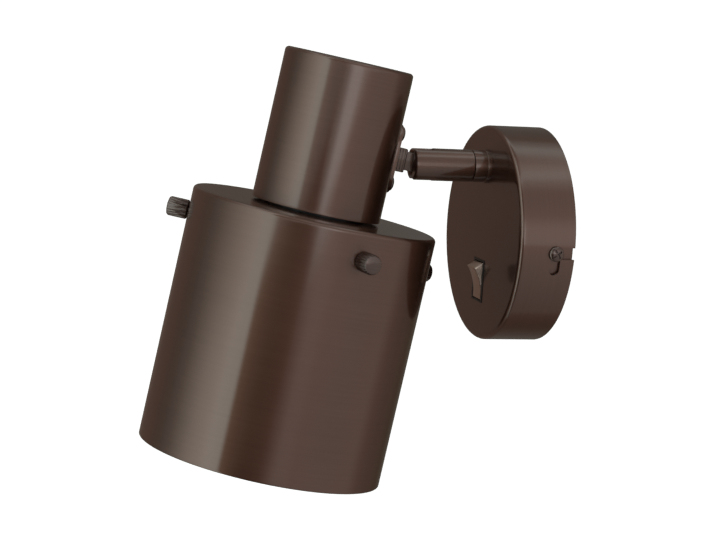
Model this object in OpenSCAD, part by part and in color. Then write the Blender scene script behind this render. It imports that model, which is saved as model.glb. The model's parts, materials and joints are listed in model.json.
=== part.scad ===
// Pivoting spotlight wall light with a round canopy, a swivelling arm, a tilting head and a drum shade.
// Millimetres, +Z up. The wall is the plane Y = 0 and the light stands out from it along -Y.
// The origin is the centre of the canopy's back, on the wall.

/* [Canopy] */
// Outside diameter of the canopy
canopy_d = 100; // [92:1:120]
// Depth of the canopy, from the wall to its front face
canopy_depth = 26.5; // [25:0.5:34]
// Sheet thickness of the canopy
canopy_wall = 1.2; // [1:0.1:1.6]
// Radius of the canopy's front edge
canopy_edge = 2; // [1.7:0.1:4]
// Width of the entry notch of each side slot
notch_w = 5.4; // [5:0.1:7]
// Width of the cross leg of each side slot
leg_w = 4.8; // [4.6:0.1:6]
// Turn that takes a side screw from the notch to the end of the leg, in degrees
leg_turn = 8.8; // [6:0.2:12]

/* [Wall bracket] */
// Sheet thickness of the round bracket
dish_t = 1.5; // [1.2:0.1:1.7]
// Depth of the bracket's rim, from the wall
dish_depth = 14; // [13:0.5:16]
// Distance of the side screws from the wall
side_screw_out = 9.2; // [8:0.2:10]
// Drop of the side screws below the canopy's centre
side_screw_drop = 2; // [0:0.5:3]
// Distance between the two wall-screw slots
wall_slot_spacing = 54; // [50:1:58]
// Width of the wall-screw slots
wall_slot_w = 4.6; // [4:0.1:5]
// Length of the wall-screw slots
wall_slot_l = 12; // [9:0.5:13]
// Diameter of the hole for the wall cable
cable_hole_d = 11; // [8:0.5:12]

/* [Rocker switch] */
// Drop of the switch below the canopy's centre
switch_drop = 22.5; // [21:0.5:26]
// Height of the switch cut-out in the canopy
switch_h = 19.2; // [18.6:0.1:21]
// Width of the switch cut-out in the canopy
switch_w = 12.8; // [12:0.1:15]
// Depth of the switch housing behind the canopy's face
switch_depth = 15; // [14:0.5:18]
// Length of the rocker at its axle
rocker_l = 18; // [17:0.2:18.2]
// Width of the rocker
rocker_w = 10; // [9:0.2:10.6]
// Angle of the rocker away from its middle position, in degrees
rocker_lean = 15; // [10:1:15]

/* [Arm] */
// Distance of the arm's axis from the canopy's rim
arm_inset = 19; // [17:0.5:22]
// Diameter of the arm
arm_d = 15; // [14.4:0.2:17]
// Thickness of the flange at the arm's foot
flange_t = 2; // [1.5:0.1:3]
// Amount by which the flange is larger all round than the arm
flange_lip = 0.4; // [0.2:0.1:1]
// Length of the fixed collar between flange and swivel seam
collar_l = 6; // [4:0.5:9]
// Length of the swivelling arm
arm_l = 29; // [27:0.5:40]
// Outside diameter of the threaded tube that holds the arm
tube_d = 10; // [9:0.5:10.5]
// Bore of the threaded tube, for the leads
tube_bore = 7; // [6:0.5:7.5]
// Turn of the arm each way from straight, in degrees
swivel_turn = 150; // [90:5:150]

/* [Knuckle] */
// Width of the slot in the arm's end
fork_slot_w = 5; // [4.6:0.1:5.6]
// Depth of the slot in the arm's end
fork_slot_l = 10.2; // [9.6:0.1:12]
// Distance of the pivot from the arm's end
pivot_in = 4.5; // [4:0.1:5]
// Diameter of the pivot screw
pivot_d = 4; // [3.5:0.1:4.5]
// Diameter of the tongue's eye
eye_d = 10; // [9:0.2:10.6]
// Height of the tongue's neck
neck_h = 8.5; // [8:0.1:9]
// Height of the tongue's root
root_h = 11; // [10:0.2:12]
// Length of the tongue's root
root_l = 5.2; // [4:0.2:6]
// Thickness of the tongue, across the slot
tongue_t = 3.8; // [3.4:0.1:3.8]
// Distance from the pivot to the wall of the lampholder cap
knuckle_reach = 14.75; // [14:0.25:18]
// Tilt of the head as it rests, top towards the wall, in degrees
rest_tilt = 9.6; // [0:0.1:25]

/* [Saddle plate] */
// Height of the saddle plate
saddle_h = 32; // [30:1:36]
// Width of the saddle plate
saddle_w = 19; // [16:0.5:20]
// Thickness of the saddle plate
saddle_t = 1.5; // [1.2:0.1:2]
// Distance between the saddle screws
saddle_screw_spacing = 23; // [22:0.5:24]

/* [Lampholder cap] */
// Outside diameter of the cap
cap_d = 59.5; // [58:0.5:66]
// Height of the cap
cap_h = 69.5; // [66:0.5:80]
// Height of the cap's top above the pivot
cap_rise = 39.5; // [36:0.5:44]
// Sheet thickness of the cap
cap_wall = 1; // [0.8:0.1:1.4]
// Radius of the cap's top edge
cap_edge = 1.8; // [1.6:0.1:3]

/* [Shade] */
// Outside diameter of the shade
shade_d = 113; // [106:1:130]
// Height of the shade
shade_h = 117; // [100:1:150]
// Sheet thickness of the shade
shade_wall = 1; // [0.8:0.1:1.6]
// Depth of the rim of the lid that closes the shade's top
lid_t = 2.2; // [2:0.1:3]
// Sheet thickness of the lid
lid_wall = 1.2; // [1:0.1:1.6]
// Radius of the lid's edge
lid_edge = 1.8; // [0.6:0.1:2]
// Open shadow gap between the cap and the lid
shade_gap = 1; // [0.6:0.1:2]
// Depth of the lid's skirt inside the shade
skirt_depth = 25.5; // [25:0.5:32]

/* [Thumbscrews] */
// Diameter of the knurled heads
thumb_d = 9; // [8:0.2:10]
// Length of the knurled heads
thumb_l = 10; // [8:0.5:12]
// Number of knurls round each head
knurls = 24; // [18:1:30]
// Depth of the front and side thumbscrews below the shade's top
thumb_drop = 12.7; // [11:0.1:15]
// Depth of the rear thumbscrew below the shade's top
rear_thumb_drop = 19; // [16:0.5:20]
// Bearing of the front thumbscrew round the head, from +X towards the wall, in degrees
thumb_bearing = 9; // [0:1:20]

/* [Lampholder] */
// Share of the cap's diameter that the lampholder takes
holder_share = 0.672; // [0.64:0.004:0.7]
// Length of the lampholder's skirt
holder_skirt_l = 40; // [38:1:44]
// Diameter of the bulb thread in the shell
bulb_thread_d = 26.8; // [26:0.1:27]
// Length of the bulb thread
bulb_thread_l = 22; // [18:1:24]

/* [Hidden] */

// Finishes, as the photograph shows them
bronze = "#4a3a32";
dark_bronze = "#2c211c";
steel = "#9a9a96";
brass = "#b08d4a";
black = "#1c1b1a";
porcelain = "#d9d4c8";
zinc = "#8d8f90";

// Facets of large and small rounds
big_fn = 120;
small_fn = 48;

// Overrun of every cut past the face it opens
over = 1;
// Play of a shaft in its hole, and of a screw in its thread
fit = 0.05;
// Gap between parts that lie loosely against each other
seat = 0.1;
// Gap between parts that move past each other
play = 0.3;

// Hardware: radii and lengths of the screws and nuts
m4_r = 2;
m4_free_r = 2.25;
m4_head_r = 3.6;
m4_head_t = 2.2;
side_screw_l = 6;
side_head_r = 3.1;
pan_dome_share = 1.6;
driver_slot_w = 0.9;
driver_slot_t = 1.1;
thin_nut_t = 3;
tube_nut_af = 14;
tube_nut_t = 3.5;
tube_washer_r = 8.5;
tube_washer_t = 1;

// Canopy, derived
canopy_r = canopy_d / 2;
arm_up = canopy_r - arm_inset;
canopy_inner_r = canopy_r - canopy_wall;
canopy_inner_depth = canopy_depth - canopy_wall;
slot_angle = -asin(side_screw_drop / canopy_r);
leg_reach = canopy_r * sin(leg_turn);
slot_cut_r = canopy_inner_r - leg_w / 2;
slot_cut_t = canopy_wall + leg_w;

// Bracket, derived: its rim stands just inside the canopy's wall
dish_r = canopy_inner_r - play;
dish_edge = dish_t + play;

// Terminal block, derived
pole_pitch = 9;
poles = 3;
block_l = poles * pole_pitch;
block_w = 15;
block_t = 8;
turret_r = 3.4;
turret_t = 4.5;
clamp_screw_r = 1.8;
wire_hole_r = 1.6;
screw_depth_share = 0.7;

// Cable hole, above the terminal block
cable_clear = 0.5;
cable_hole_up = block_w / 2 + cable_clear + cable_hole_d / 2;

// Earth screw, between a wall slot and the switch
earth_turn = 222;
earth_share = 0.69;
earth_r = (dish_r - dish_t) * earth_share;
earth_at = [earth_r * cos(earth_turn), earth_r * sin(earth_turn), 0];

// Switch, derived
bezel_lip = 0.7;
bezel_t = 0.5;
housing_wall = (switch_w - rocker_w) / 2 - play;
housing_half_h = switch_h / 2 - seat;
housing_half_w = switch_w / 2 - seat;
housing_end_wall = 0.45;
cavity_half_h = housing_half_h - housing_end_wall;
cavity_half_w = rocker_w / 2 + play;
rocker_pivot_in = 2.5;
rocker_axle_r = 1.2;
rocker_proud = 5;
rocker_dish = 1.4;
rocker_tail = 5;
rocker_tail_share = 0.25;
tab_blade_w = 4.8;
tab_blade_t = 0.8;
tab_clear = 3;
tab_blade_l = canopy_depth - switch_depth - dish_t - tab_clear;
tab_pitch = 7;
switch_floor_t = 2;

// Arm, derived: distances from the wall along the arm
arm_r = arm_d / 2;
tube_r = tube_d / 2;
flange_top = canopy_depth + flange_t;
collar_top = flange_top + collar_l;
swivel_gap = play;
arm_start = collar_top + swivel_gap;
arm_end = collar_top + arm_l;
tube_end_t = 1.5;
tube_tail = tube_washer_t + tube_nut_t + tube_end_t;
spigot_l = 9;
groove_t = 0.8;
groove_out = collar_top + spigot_l / 2;
grub_r = 1.5;
groove_w = 2 * (grub_r + play);
grub_slot_t = 0.8;
groove_turn = swivel_turn + asin(grub_r / (tube_r - groove_t));
pivot_out = arm_end - pivot_in;
arm_end_round = 0.6;
pivot_head_r = 3.4;
pivot_head_t = 2;
pivot_cover_t = 1.6;
pivot_thread_end = arm_r - pivot_cover_t;
friction_washer_t = (fork_slot_w - tongue_t) / 2 - 2 * fit;
friction_washer_r = 4.5;

// Head, derived: heights are above the pivot, along the head's axis
cap_r = cap_d / 2;
cap_inner_r = cap_r - cap_wall;
head_reach = knuckle_reach + cap_r;
cap_bottom = cap_rise - cap_h;
shade_top = cap_bottom - shade_gap;
shade_r = shade_d / 2;
shade_inner_r = shade_r - shade_wall;
saddle_r = cap_r + saddle_t;
stud_r = 3;
stud_sink = 1;
stud_tail = 1;
stud_nut_af = 10;
root_t = fork_slot_w - 2 * play;
root_grooves = 3;
groove_pitch = root_l / (root_grooves + 1);
root_groove_w = 0.6;
root_groove_t = 0.35;

// Lampholder, derived
leg_t = 2;
leg_w_in = saddle_w;
leg_outer_r = cap_inner_r - seat;
leg_inner_r = leg_outer_r - leg_t;
knuckle_nut_r = sqrt(pow(leg_inner_r, 2) - pow(stud_nut_af / 2 / cos(30), 2)) - fit - thin_nut_t;
shelf_rise = 1;
shelf_z = saddle_h / 2 + shelf_rise;
leg_bottom = -saddle_h / 2;
holder_r = cap_r * holder_share;
holder_wall = 2.4;
dome_h = 22;
dome_wall = 2;
dome_top_r = 9;
skirt_top = shelf_z - dome_h;
skirt_bottom = skirt_top - holder_skirt_l;
shoulder_lip = 2;
shoulder_t = 2;
lid_bottom = shade_top - lid_t;
lid_under = shade_top - lid_wall;
lid_skirt_t = 1.5;
lid_skirt_r = shade_inner_r - play;
contact_base_t = 8;
shell_t = 0.6;
shell_r = bulb_thread_d / 2;
shell_flange_t = 0.8;
shell_inset = 1.5;
shell_bottom = skirt_bottom + shell_inset;
shell_top = shell_bottom + bulb_thread_l;
holder_inner_r = holder_r - holder_wall;
ring_t = 8;
ring_wall = 2.5;
ring_lip_r = holder_r + ring_wall + ring_t / 2;
ring_lip_t = 2;
contact_r = 4;
contact_t = 0.8;
contact_rise = 2.4;

// Thumbscrews, derived: bearings round the head's axis and depths below the shade's top
thumb_r = thumb_d / 2;
side_thumb_turn = 120;
rear_thumb_turn = 92;
thumb_bearings = [thumb_bearing, thumb_bearing - side_thumb_turn, thumb_bearing + rear_thumb_turn];
thumb_drops = [thumb_drop, thumb_drop, rear_thumb_drop];
bush_r = 4.5;
bush_t = 4;
bush_over = 1;
knurl_t = 0.35;
thumb_dome = 1.2;
thumb_root = 1;
thumb_dome_r = (pow(thumb_r, 2) + pow(thumb_dome, 2)) / (2 * thumb_dome);
bush_seat_r = lid_skirt_r - lid_skirt_t;

// Turns local x, y, z into X, Z and the distance from the wall
module outward() {
    rotate([90, 0, 0]) children();
}

// Places what is made about the arm's axis, with local z the distance from the wall
module on_arm() {
    outward() translate([0, arm_up, 0]) children();
}

// Places what is made about the pivot: +Z along the tilted head, +Y towards the arm
module on_pivot() {
    translate([0, -pivot_out, arm_up]) rotate([-rest_tilt, 0, 0]) children();
}

// Places what is made about the head's own axis
module on_head() {
    on_pivot() translate([0, -head_reach, 0]) children();
}

// Turns local z to point from the head's axis to the arm, with local y up
module to_arm() {
    rotate([-90, 0, 0]) mirror([0, 1, 0]) children();
}

// Section of a cup with a rounded edge: r and h outside, closed at the top, open below
module cup_section(r, h, wall, edge) {
    difference() {
        rounded_corner(r, h, edge);
        translate([0, -over]) rounded_corner(r - wall, h - wall + over, edge - wall);
    }
}

// Quarter section with one round outer corner
module rounded_corner(r, h, edge) {
    square([r - edge, h]);
    square([r, h - edge]);
    intersection() {
        translate([r - edge, h - edge]) circle(edge, $fn = small_fn);
        square([r, h]);
    }
}

// Flat tube
module ring(outer, inner, t) {
    difference() {
        cylinder(r = outer, h = t, $fn = big_fn);
        translate([0, 0, -over]) cylinder(r = inner, h = t + over + over, $fn = big_fn);
    }
}

// Hexagon nut with a round bore
module nut(across, bore_r, t) {
    difference() {
        cylinder(d = across / cos(30), h = t, $fn = 6);
        translate([0, 0, -over]) cylinder(r = bore_r, h = t + over + over, $fn = small_fn);
    }
}

// Cross-slotted pan-head screw along +Z, with its head's seat at z = 0 and its shank below
module pan_screw(shank_r, shank_l, head_r, head_t) {
    difference() {
        union() {
            translate([0, 0, -shank_l]) cylinder(r = shank_r, h = shank_l, $fn = small_fn);
            rotate_extrude($fn = small_fn) intersection() {
                square([head_r, head_t]);
                translate([0, head_t - head_r * pan_dome_share])
                    circle(head_r * pan_dome_share, $fn = big_fn);
            }
        }
        for (turn = [0, 90]) rotate([0, 0, turn])
            translate([-head_r / 2, -driver_slot_w / 2, head_t - driver_slot_t])
                cube([head_r, driver_slot_w, driver_slot_t + over]);
    }
}

// Flat outline with round ends, made of true arcs
module stadium(l, w, t) {
    for (side = [-1, 1]) translate([side * (l - w) / 2, 0, 0])
        cylinder(r = w / 2, h = t, $fn = small_fn);
    translate([-(l - w) / 2, -w / 2, 0]) cube([l - w, w, t]);
}

// Round dish on the wall, that the canopy slips over
module wall_bracket() color(bronze) {
    difference() {
        outward() rotate([0, 0, 90]) translate([0, 0, dish_depth]) mirror([0, 0, 1])
            rotate_extrude($fn = big_fn) cup_section(dish_r, dish_depth, dish_t, dish_edge);
        outward() translate([0, 0, -over]) {
            for (side = [-1, 1]) translate([side * wall_slot_spacing / 2, 0, 0])
                stadium(wall_slot_l, wall_slot_w, dish_t + over + over);
            translate([0, cable_hole_up, 0])
                cylinder(d = cable_hole_d, h = dish_t + over + over, $fn = small_fn);
            translate(earth_at) cylinder(r = m4_r + fit, h = dish_t + over + over, $fn = small_fn);
        }
        translate([-canopy_r, -side_screw_out, -side_screw_drop]) rotate([0, 90, 0])
            cylinder(r = m4_r + fit, h = canopy_d, $fn = small_fn);
    }
}

module earth_screw() color(brass) {
    outward() translate(earth_at) translate([0, 0, dish_t + seat])
        pan_screw(m4_r, dish_t, m4_head_r, m4_head_t);
}

// Row of clamps with a turret over each pole
module terminal_block() color(porcelain) {
    outward() translate([-block_l / 2, -block_w / 2, dish_t]) difference() {
        union() {
            cube([block_l, block_w, block_t]);
            for (pole = [0:poles - 1], end = [1, 3])
                translate([(pole + 0.5) * pole_pitch, end * block_w / 4, block_t])
                    cylinder(r = turret_r, h = turret_t, $fn = small_fn);
        }
        for (pole = [0:poles - 1]) translate([(pole + 0.5) * pole_pitch, 0, 0]) {
            translate([0, -over, block_t / 2]) rotate([-90, 0, 0])
                cylinder(r = wire_hole_r, h = block_w + over + over, $fn = small_fn);
            for (end = [1, 3]) translate([0, end * block_w / 4, block_t / 2])
                cylinder(r = clamp_screw_r + fit, h = block_t + turret_t, $fn = small_fn);
        }
    }
}

module terminal_screws() color(zinc) {
    outward() translate([-block_l / 2, -block_w / 2, dish_t])
        for (pole = [0:poles - 1], end = [1, 3])
            translate([(pole + 0.5) * pole_pitch, end * block_w / 4, block_t * screw_depth_share])
                difference() {
                    cylinder(r = clamp_screw_r, h = turret_t, $fn = small_fn);
                    translate([-turret_r, -driver_slot_w / 2, turret_t - driver_slot_t])
                        cube([turret_r * 2, driver_slot_w, turret_t]);
                }
}

// Side slot of the canopy: a notch from the back rim, then a leg round the wall
module bayonet_slot() {
    rotate([0, 0, slot_angle]) {
        translate([slot_cut_r, -notch_w / 2, -over])
            cube([slot_cut_t, notch_w, side_screw_out + leg_w / 2 + over]);
        translate([slot_cut_r, -leg_reach, side_screw_out - leg_w / 2]) cube([slot_cut_t, leg_reach, leg_w]);
        translate([slot_cut_r, -leg_reach, side_screw_out]) rotate([0, 90, 0])
            cylinder(r = leg_w / 2, h = slot_cut_t, $fn = small_fn);
    }
}

module canopy() color(bronze) {
    outward() difference() {
        rotate([0, 0, 90]) rotate_extrude($fn = big_fn)
            cup_section(canopy_r, canopy_depth, canopy_wall, canopy_edge);
        for (turn = [0, 1])
            rotate([0, 0, turn * (180 - 2 * slot_angle)]) bayonet_slot();
        translate([0, arm_up, 0]) cylinder(r = tube_r + fit, h = canopy_depth + over, $fn = small_fn);
        translate([-switch_w / 2, -switch_drop - switch_h / 2, canopy_inner_depth - over])
            cube([switch_w, switch_h, canopy_wall + over + over]);
    }
}

// Two screws through the side slots into the bracket's ears
module canopy_screws() color(dark_bronze) {
    for (side = [0, 1]) mirror([side, 0, 0])
        translate([canopy_r * cos(slot_angle) + seat, -side_screw_out, -side_screw_drop]) rotate([0, 90, 0])
            pan_screw(m4_r, side_screw_l, side_head_r, m4_head_t);
}

// Frame and box of the switch, open at the front
module switch_housing() color(black) {
    outward() translate([0, -switch_drop, 0]) difference() {
        union() {
            translate([-housing_half_w, -housing_half_h, canopy_depth - switch_depth])
                cube([2 * housing_half_w, 2 * housing_half_h, switch_depth]);
            translate([-housing_half_w - bezel_lip, -housing_half_h - bezel_lip, canopy_depth])
                cube([2 * (housing_half_w + bezel_lip), 2 * (housing_half_h + bezel_lip), bezel_t]);
        }
        translate([-cavity_half_w, -cavity_half_h, canopy_depth - switch_depth + switch_floor_t])
            cube([2 * cavity_half_w, 2 * cavity_half_h, switch_depth + bezel_t]);
        translate([-switch_w, 0, canopy_depth - rocker_pivot_in]) rotate([0, 90, 0])
            cylinder(r = rocker_axle_r + fit, h = 2 * switch_w, $fn = small_fn);
    }
}

// Two flat blades behind the switch for its leads
module switch_tabs() color(brass) {
    outward() for (side = [-1, 1])
        translate([-tab_blade_w / 2, -switch_drop + side * tab_pitch / 2 - tab_blade_t / 2,
                canopy_depth - switch_depth - tab_blade_l])
            cube([tab_blade_w, tab_blade_t, tab_blade_l]);
}

// Rocker in side view about its axle: first along the canopy's face, then outwards
module rocker_outline() {
    half = rocker_l / 2;
    top = half - rocker_proud * tan(rocker_lean);
    tail = half * rocker_tail_share;
    dish_r = (pow(top, 2) + pow(rocker_dish, 2)) / (2 * rocker_dish);
    difference() {
        polygon([[-top, rocker_proud], [top, rocker_proud], [half, 0], [tail, -rocker_tail],
            [-tail, -rocker_tail], [-half, 0]]);
        translate([0, rocker_proud - rocker_dish + dish_r]) circle(dish_r, $fn = big_fn);
    }
}

module switch_rocker() color(bronze) {
    outward() translate([0, -switch_drop, canopy_depth - rocker_pivot_in]) rotate([rocker_lean, 0, 0])
        union() {
            translate([-rocker_w / 2, 0, 0]) rotate([90, 0, 90]) linear_extrude(rocker_w) rocker_outline();
            translate([-housing_half_w, 0, 0]) rotate([0, 90, 0])
                cylinder(r = rocker_axle_r, h = 2 * housing_half_w, $fn = small_fn);
        }
}

module base_flange() color(bronze) {
    on_arm() translate([0, 0, canopy_depth]) ring(arm_r + flange_lip, tube_r + fit, flange_t);
}

module swivel_collar() color(bronze) {
    on_arm() translate([0, 0, flange_top]) ring(arm_r, tube_r + fit, collar_l);
}

// Threaded tube from inside the canopy into the arm, with a part-round groove that stops the grub screw
module base_tube() color(zinc) {
    on_arm() difference() {
        translate([0, 0, canopy_inner_depth - tube_tail])
            cylinder(r = tube_r, h = collar_top + spigot_l - canopy_inner_depth + tube_tail, $fn = small_fn);
        cylinder(d = tube_bore, h = arm_end, $fn = small_fn);
        translate([0, 0, groove_out - groove_w / 2]) rotate([0, 0, 180 - groove_turn])
            rotate_extrude(angle = 2 * groove_turn, $fn = big_fn)
                translate([tube_r - groove_t, 0]) square([groove_t + over, groove_w]);
    }
}

module base_washer() color(zinc) {
    on_arm() translate([0, 0, canopy_inner_depth - tube_washer_t])
        ring(tube_washer_r, tube_r + fit, tube_washer_t);
}

module base_nut() color(zinc) {
    on_arm() translate([0, 0, canopy_inner_depth - tube_washer_t - tube_nut_t])
        nut(tube_nut_af, tube_r + fit, tube_nut_t);
}

// Round arm, bored for the tube and the leads, slotted at its end for the tongue
module arm() color(bronze) {
    on_arm() difference() {
        translate([0, 0, arm_start]) rotate_extrude($fn = big_fn)
            rounded_corner(arm_r, arm_end - arm_start, arm_end_round);
        cylinder(r = tube_r + fit, h = collar_top + spigot_l + play, $fn = small_fn);
        cylinder(d = tube_bore, h = arm_end - fork_slot_l + over, $fn = small_fn);
        translate([-fork_slot_w / 2, -arm_d, arm_end - fork_slot_l])
            cube([fork_slot_w, 2 * arm_d, fork_slot_l + over]);
        translate([-arm_d, 0, groove_out]) rotate([0, 90, 0])
            cylinder(r = grub_r + fit, h = arm_d, $fn = small_fn);
        translate([-arm_d, 0, pivot_out]) rotate([0, 90, 0]) {
            cylinder(r = pivot_d / 2 + fit, h = arm_d + pivot_thread_end, $fn = small_fn);
            cylinder(r = pivot_head_r + seat, h = arm_r + pivot_head_t + arm_end_round, $fn = small_fn);
        }
    }
}

// Headless screw on the hidden side, with its tip in the tube's groove
module arm_grub_screw() color(zinc) {
    on_arm() translate([-arm_r + seat, 0, groove_out]) rotate([0, 90, 0]) difference() {
        cylinder(r = grub_r - fit, h = arm_r - tube_r + groove_t - play, $fn = small_fn);
        translate([-grub_r, -driver_slot_w / 2, -over]) cube([2 * grub_r, driver_slot_w, grub_slot_t + over]);
    }
}

// Screw across the fork: head sunk in the hidden cheek, thread in the near one
module pivot_screw() color(zinc) {
    on_arm() translate([-arm_r + arm_end_round, 0, pivot_out]) rotate([0, 90, 0]) difference() {
        union() {
            cylinder(r = pivot_head_r, h = pivot_head_t, $fn = small_fn);
            cylinder(d = pivot_d, h = arm_r + pivot_thread_end - arm_end_round - play, $fn = small_fn);
        }
        for (turn = [0, 90]) rotate([0, 0, turn])
            translate([-pivot_head_r / 2, -driver_slot_w / 2, -over])
                cube([pivot_head_r, driver_slot_w, driver_slot_t + over]);
    }
}

// Two thin washers beside the tongue, under the pivot screw's pull
module friction_washers() color(black) {
    on_arm() for (side = [0, 1]) mirror([side, 0, 0])
        translate([tongue_t / 2 + fit, 0, pivot_out]) rotate([0, 90, 0])
            ring(friction_washer_r, pivot_d / 2 + fit, friction_washer_t);
}

// Flat bar in the fork's plane, from the cap's wall towards the pivot
module tongue_bar(l, h, t) {
    translate([-t / 2, -knuckle_reach, -h / 2]) cube([t, l, h]);
}

// Tongue: eye in the fork, neck, ridged root on the saddle and threaded stud through the cap
module tongue() color(dark_bronze) {
    on_pivot() difference() {
        union() {
            difference() {
                union() {
                    translate([-tongue_t / 2, 0, 0]) rotate([0, 90, 0])
                        cylinder(d = eye_d, h = tongue_t, $fn = small_fn);
                    tongue_bar(knuckle_reach, neck_h, tongue_t);
                    tongue_bar(root_l + saddle_t, root_h, root_t);
                }
                translate([0, -head_reach, -root_h])
                    cylinder(r = saddle_r + fit, h = 2 * root_h, $fn = big_fn);
            }
            translate([0, saddle_t + stud_sink - knuckle_reach, 0]) rotate([90, 0, 0])
                cylinder(r = stud_r, h = saddle_r - knuckle_nut_r + stud_sink + stud_tail, $fn = small_fn);
        }
        translate([-tongue_t, 0, 0]) rotate([0, 90, 0])
            cylinder(r = pivot_d / 2 + fit, h = 2 * tongue_t, $fn = small_fn);
        for (side = [-1, 1], row = [1:root_grooves])
            translate([side * root_t / 2, row * groove_pitch - knuckle_reach + saddle_t, 0])
                cube([2 * root_groove_t, root_groove_w, 2 * root_h], center = true);
    }
}

// Holes through the cap's wall for the stud and the saddle screws
module saddle_holes(from_r, to_r, screw_hole_r) {
    to_arm() translate([0, 0, from_r]) {
        cylinder(r = stud_r + fit, h = to_r - from_r, $fn = small_fn);
        for (side = [-1, 1]) translate([0, side * saddle_screw_spacing / 2, 0])
            cylinder(r = screw_hole_r, h = to_r - from_r, $fn = small_fn);
    }
}

// Upright strip with round ends that stands through the cap's wall on the arm's side
module saddle_strip(w, h, to_r) {
    to_arm() rotate([0, 0, 90]) stadium(h, w, to_r);
}

module saddle_plate() color(bronze) {
    on_head() difference() {
        intersection() {
            translate([0, 0, -saddle_h]) ring(saddle_r, cap_r + fit, 2 * saddle_h);
            saddle_strip(saddle_w, saddle_h, saddle_r + over);
        }
        saddle_holes(0, saddle_r + over, m4_free_r);
    }
}

module saddle_screws() color(dark_bronze) {
    on_head() to_arm() for (side = [-1, 1]) translate([0, side * saddle_screw_spacing / 2, saddle_r + fit])
        pan_screw(m4_r, saddle_r - leg_inner_r, m4_head_r, m4_head_t);
}

module knuckle_nut() color(zinc) {
    on_head() to_arm() translate([0, 0, knuckle_nut_r]) nut(stud_nut_af, stud_r + fit, thin_nut_t);
}

module cap() color(bronze) {
    on_head() difference() {
        translate([0, 0, cap_bottom]) rotate_extrude($fn = big_fn)
            cup_section(cap_r, cap_h, cap_wall, cap_edge);
        saddle_holes(cap_inner_r - over, cap_r + over, m4_free_r);
    }
}

// Strap behind the cap's wall, with a shelf that carries the lampholder
module holder_bracket() color(steel) {
    on_head() difference() {
        union() {
            intersection() {
                translate([0, 0, leg_bottom]) ring(leg_outer_r, leg_inner_r, shelf_z - leg_bottom + leg_t);
                translate([-leg_w_in / 2, 0, leg_bottom])
                    cube([leg_w_in, cap_r, shelf_z - leg_bottom + leg_t]);
            }
            intersection() {
                translate([0, 0, shelf_z]) cylinder(r = leg_inner_r + fit, h = leg_t, $fn = big_fn);
                translate([-leg_w_in / 2, 0, shelf_z]) cube([leg_w_in, cap_r, leg_t]);
            }
            translate([0, 0, shelf_z]) cylinder(d = leg_w_in + tube_d / 2, h = leg_t, $fn = small_fn);
        }
        translate([0, 0, shelf_z - over]) cylinder(r = tube_r + fit, h = leg_t + over + over, $fn = small_fn);
        saddle_holes(tube_d, cap_r, m4_r + fit);
    }
}

module holder_tube() color(zinc) {
    on_head() translate([0, 0, shelf_z - dome_wall - tube_end_t])
        ring(tube_r, tube_bore / 2, dome_wall + leg_t + tube_nut_t + 2 * tube_end_t);
}

module holder_nut() color(zinc) {
    on_head() translate([0, 0, shelf_z + leg_t]) nut(tube_nut_af, tube_r + fit, tube_nut_t);
}

// Upper half of the lampholder, round-shouldered
module holder_dome() color(black) {
    on_head() translate([0, 0, skirt_top]) difference() {
        rotate_extrude($fn = big_fn) cup_section(holder_r - holder_wall / 2, dome_h, dome_wall, dome_top_r);
        translate([0, 0, dome_h / 2]) cylinder(r = tube_r + fit, h = dome_h, $fn = small_fn);
    }
}

// Lower half of the lampholder, with the shoulder that the lid is clamped against
module holder_skirt() color(black) {
    on_head() difference() {
        union() {
            translate([0, 0, skirt_bottom]) cylinder(r = holder_r, h = holder_skirt_l, $fn = big_fn);
            translate([0, 0, shade_top]) cylinder(r = holder_r + shoulder_lip, h = shoulder_t, $fn = big_fn);
        }
        translate([0, 0, skirt_bottom - over])
            cylinder(r = holder_inner_r, h = holder_skirt_l + over + over, $fn = big_fn);
    }
}

// Ceramic disc that carries the shell, with a recess above it for the contact
module contact_base() color(porcelain) {
    on_head() translate([0, 0, shell_top]) difference() {
        cylinder(r = holder_inner_r - fit, h = contact_base_t, $fn = big_fn);
        translate([0, 0, contact_base_t / 2])
            cylinder(r = holder_inner_r / 2, h = contact_base_t, $fn = small_fn);
        translate([0, 0, -over])
            cylinder(r = shell_r + shell_t, h = contact_rise + over, $fn = small_fn);
    }
}

// Metal sleeve with the bulb's thread
module holder_shell() color(brass) {
    on_head() {
        translate([0, 0, shell_bottom]) ring(shell_r + shell_t, shell_r, bulb_thread_l);
        translate([0, 0, shell_top - shell_flange_t]) ring(holder_inner_r - 2 * fit, shell_r, shell_flange_t);
    }
}

// Sprung strip that meets the bulb's tip
module centre_contact() color(brass) {
    on_head() translate([0, 0, shell_top + play]) {
        cylinder(r = contact_r, h = contact_t, $fn = small_fn);
        translate([contact_r - contact_t, -contact_r / 2, 0])
            cube([contact_t, contact_r, contact_rise - play]);
    }
}

module shade_ring() color(black) {
    on_head() translate([0, 0, lid_under - ring_t]) {
        ring(holder_r + ring_wall, holder_r + fit, ring_t);
        translate([0, 0, ring_t - ring_lip_t]) ring(ring_lip_r, holder_r + fit, ring_lip_t);
    }
}

// Turns local z outwards along one thumbscrew, from the head's axis
module at_thumb(i) {
    rotate([0, 0, thumb_bearings[i]]) translate([0, 0, shade_top - thumb_drops[i]]) rotate([0, 90, 0])
        children();
}

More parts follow.
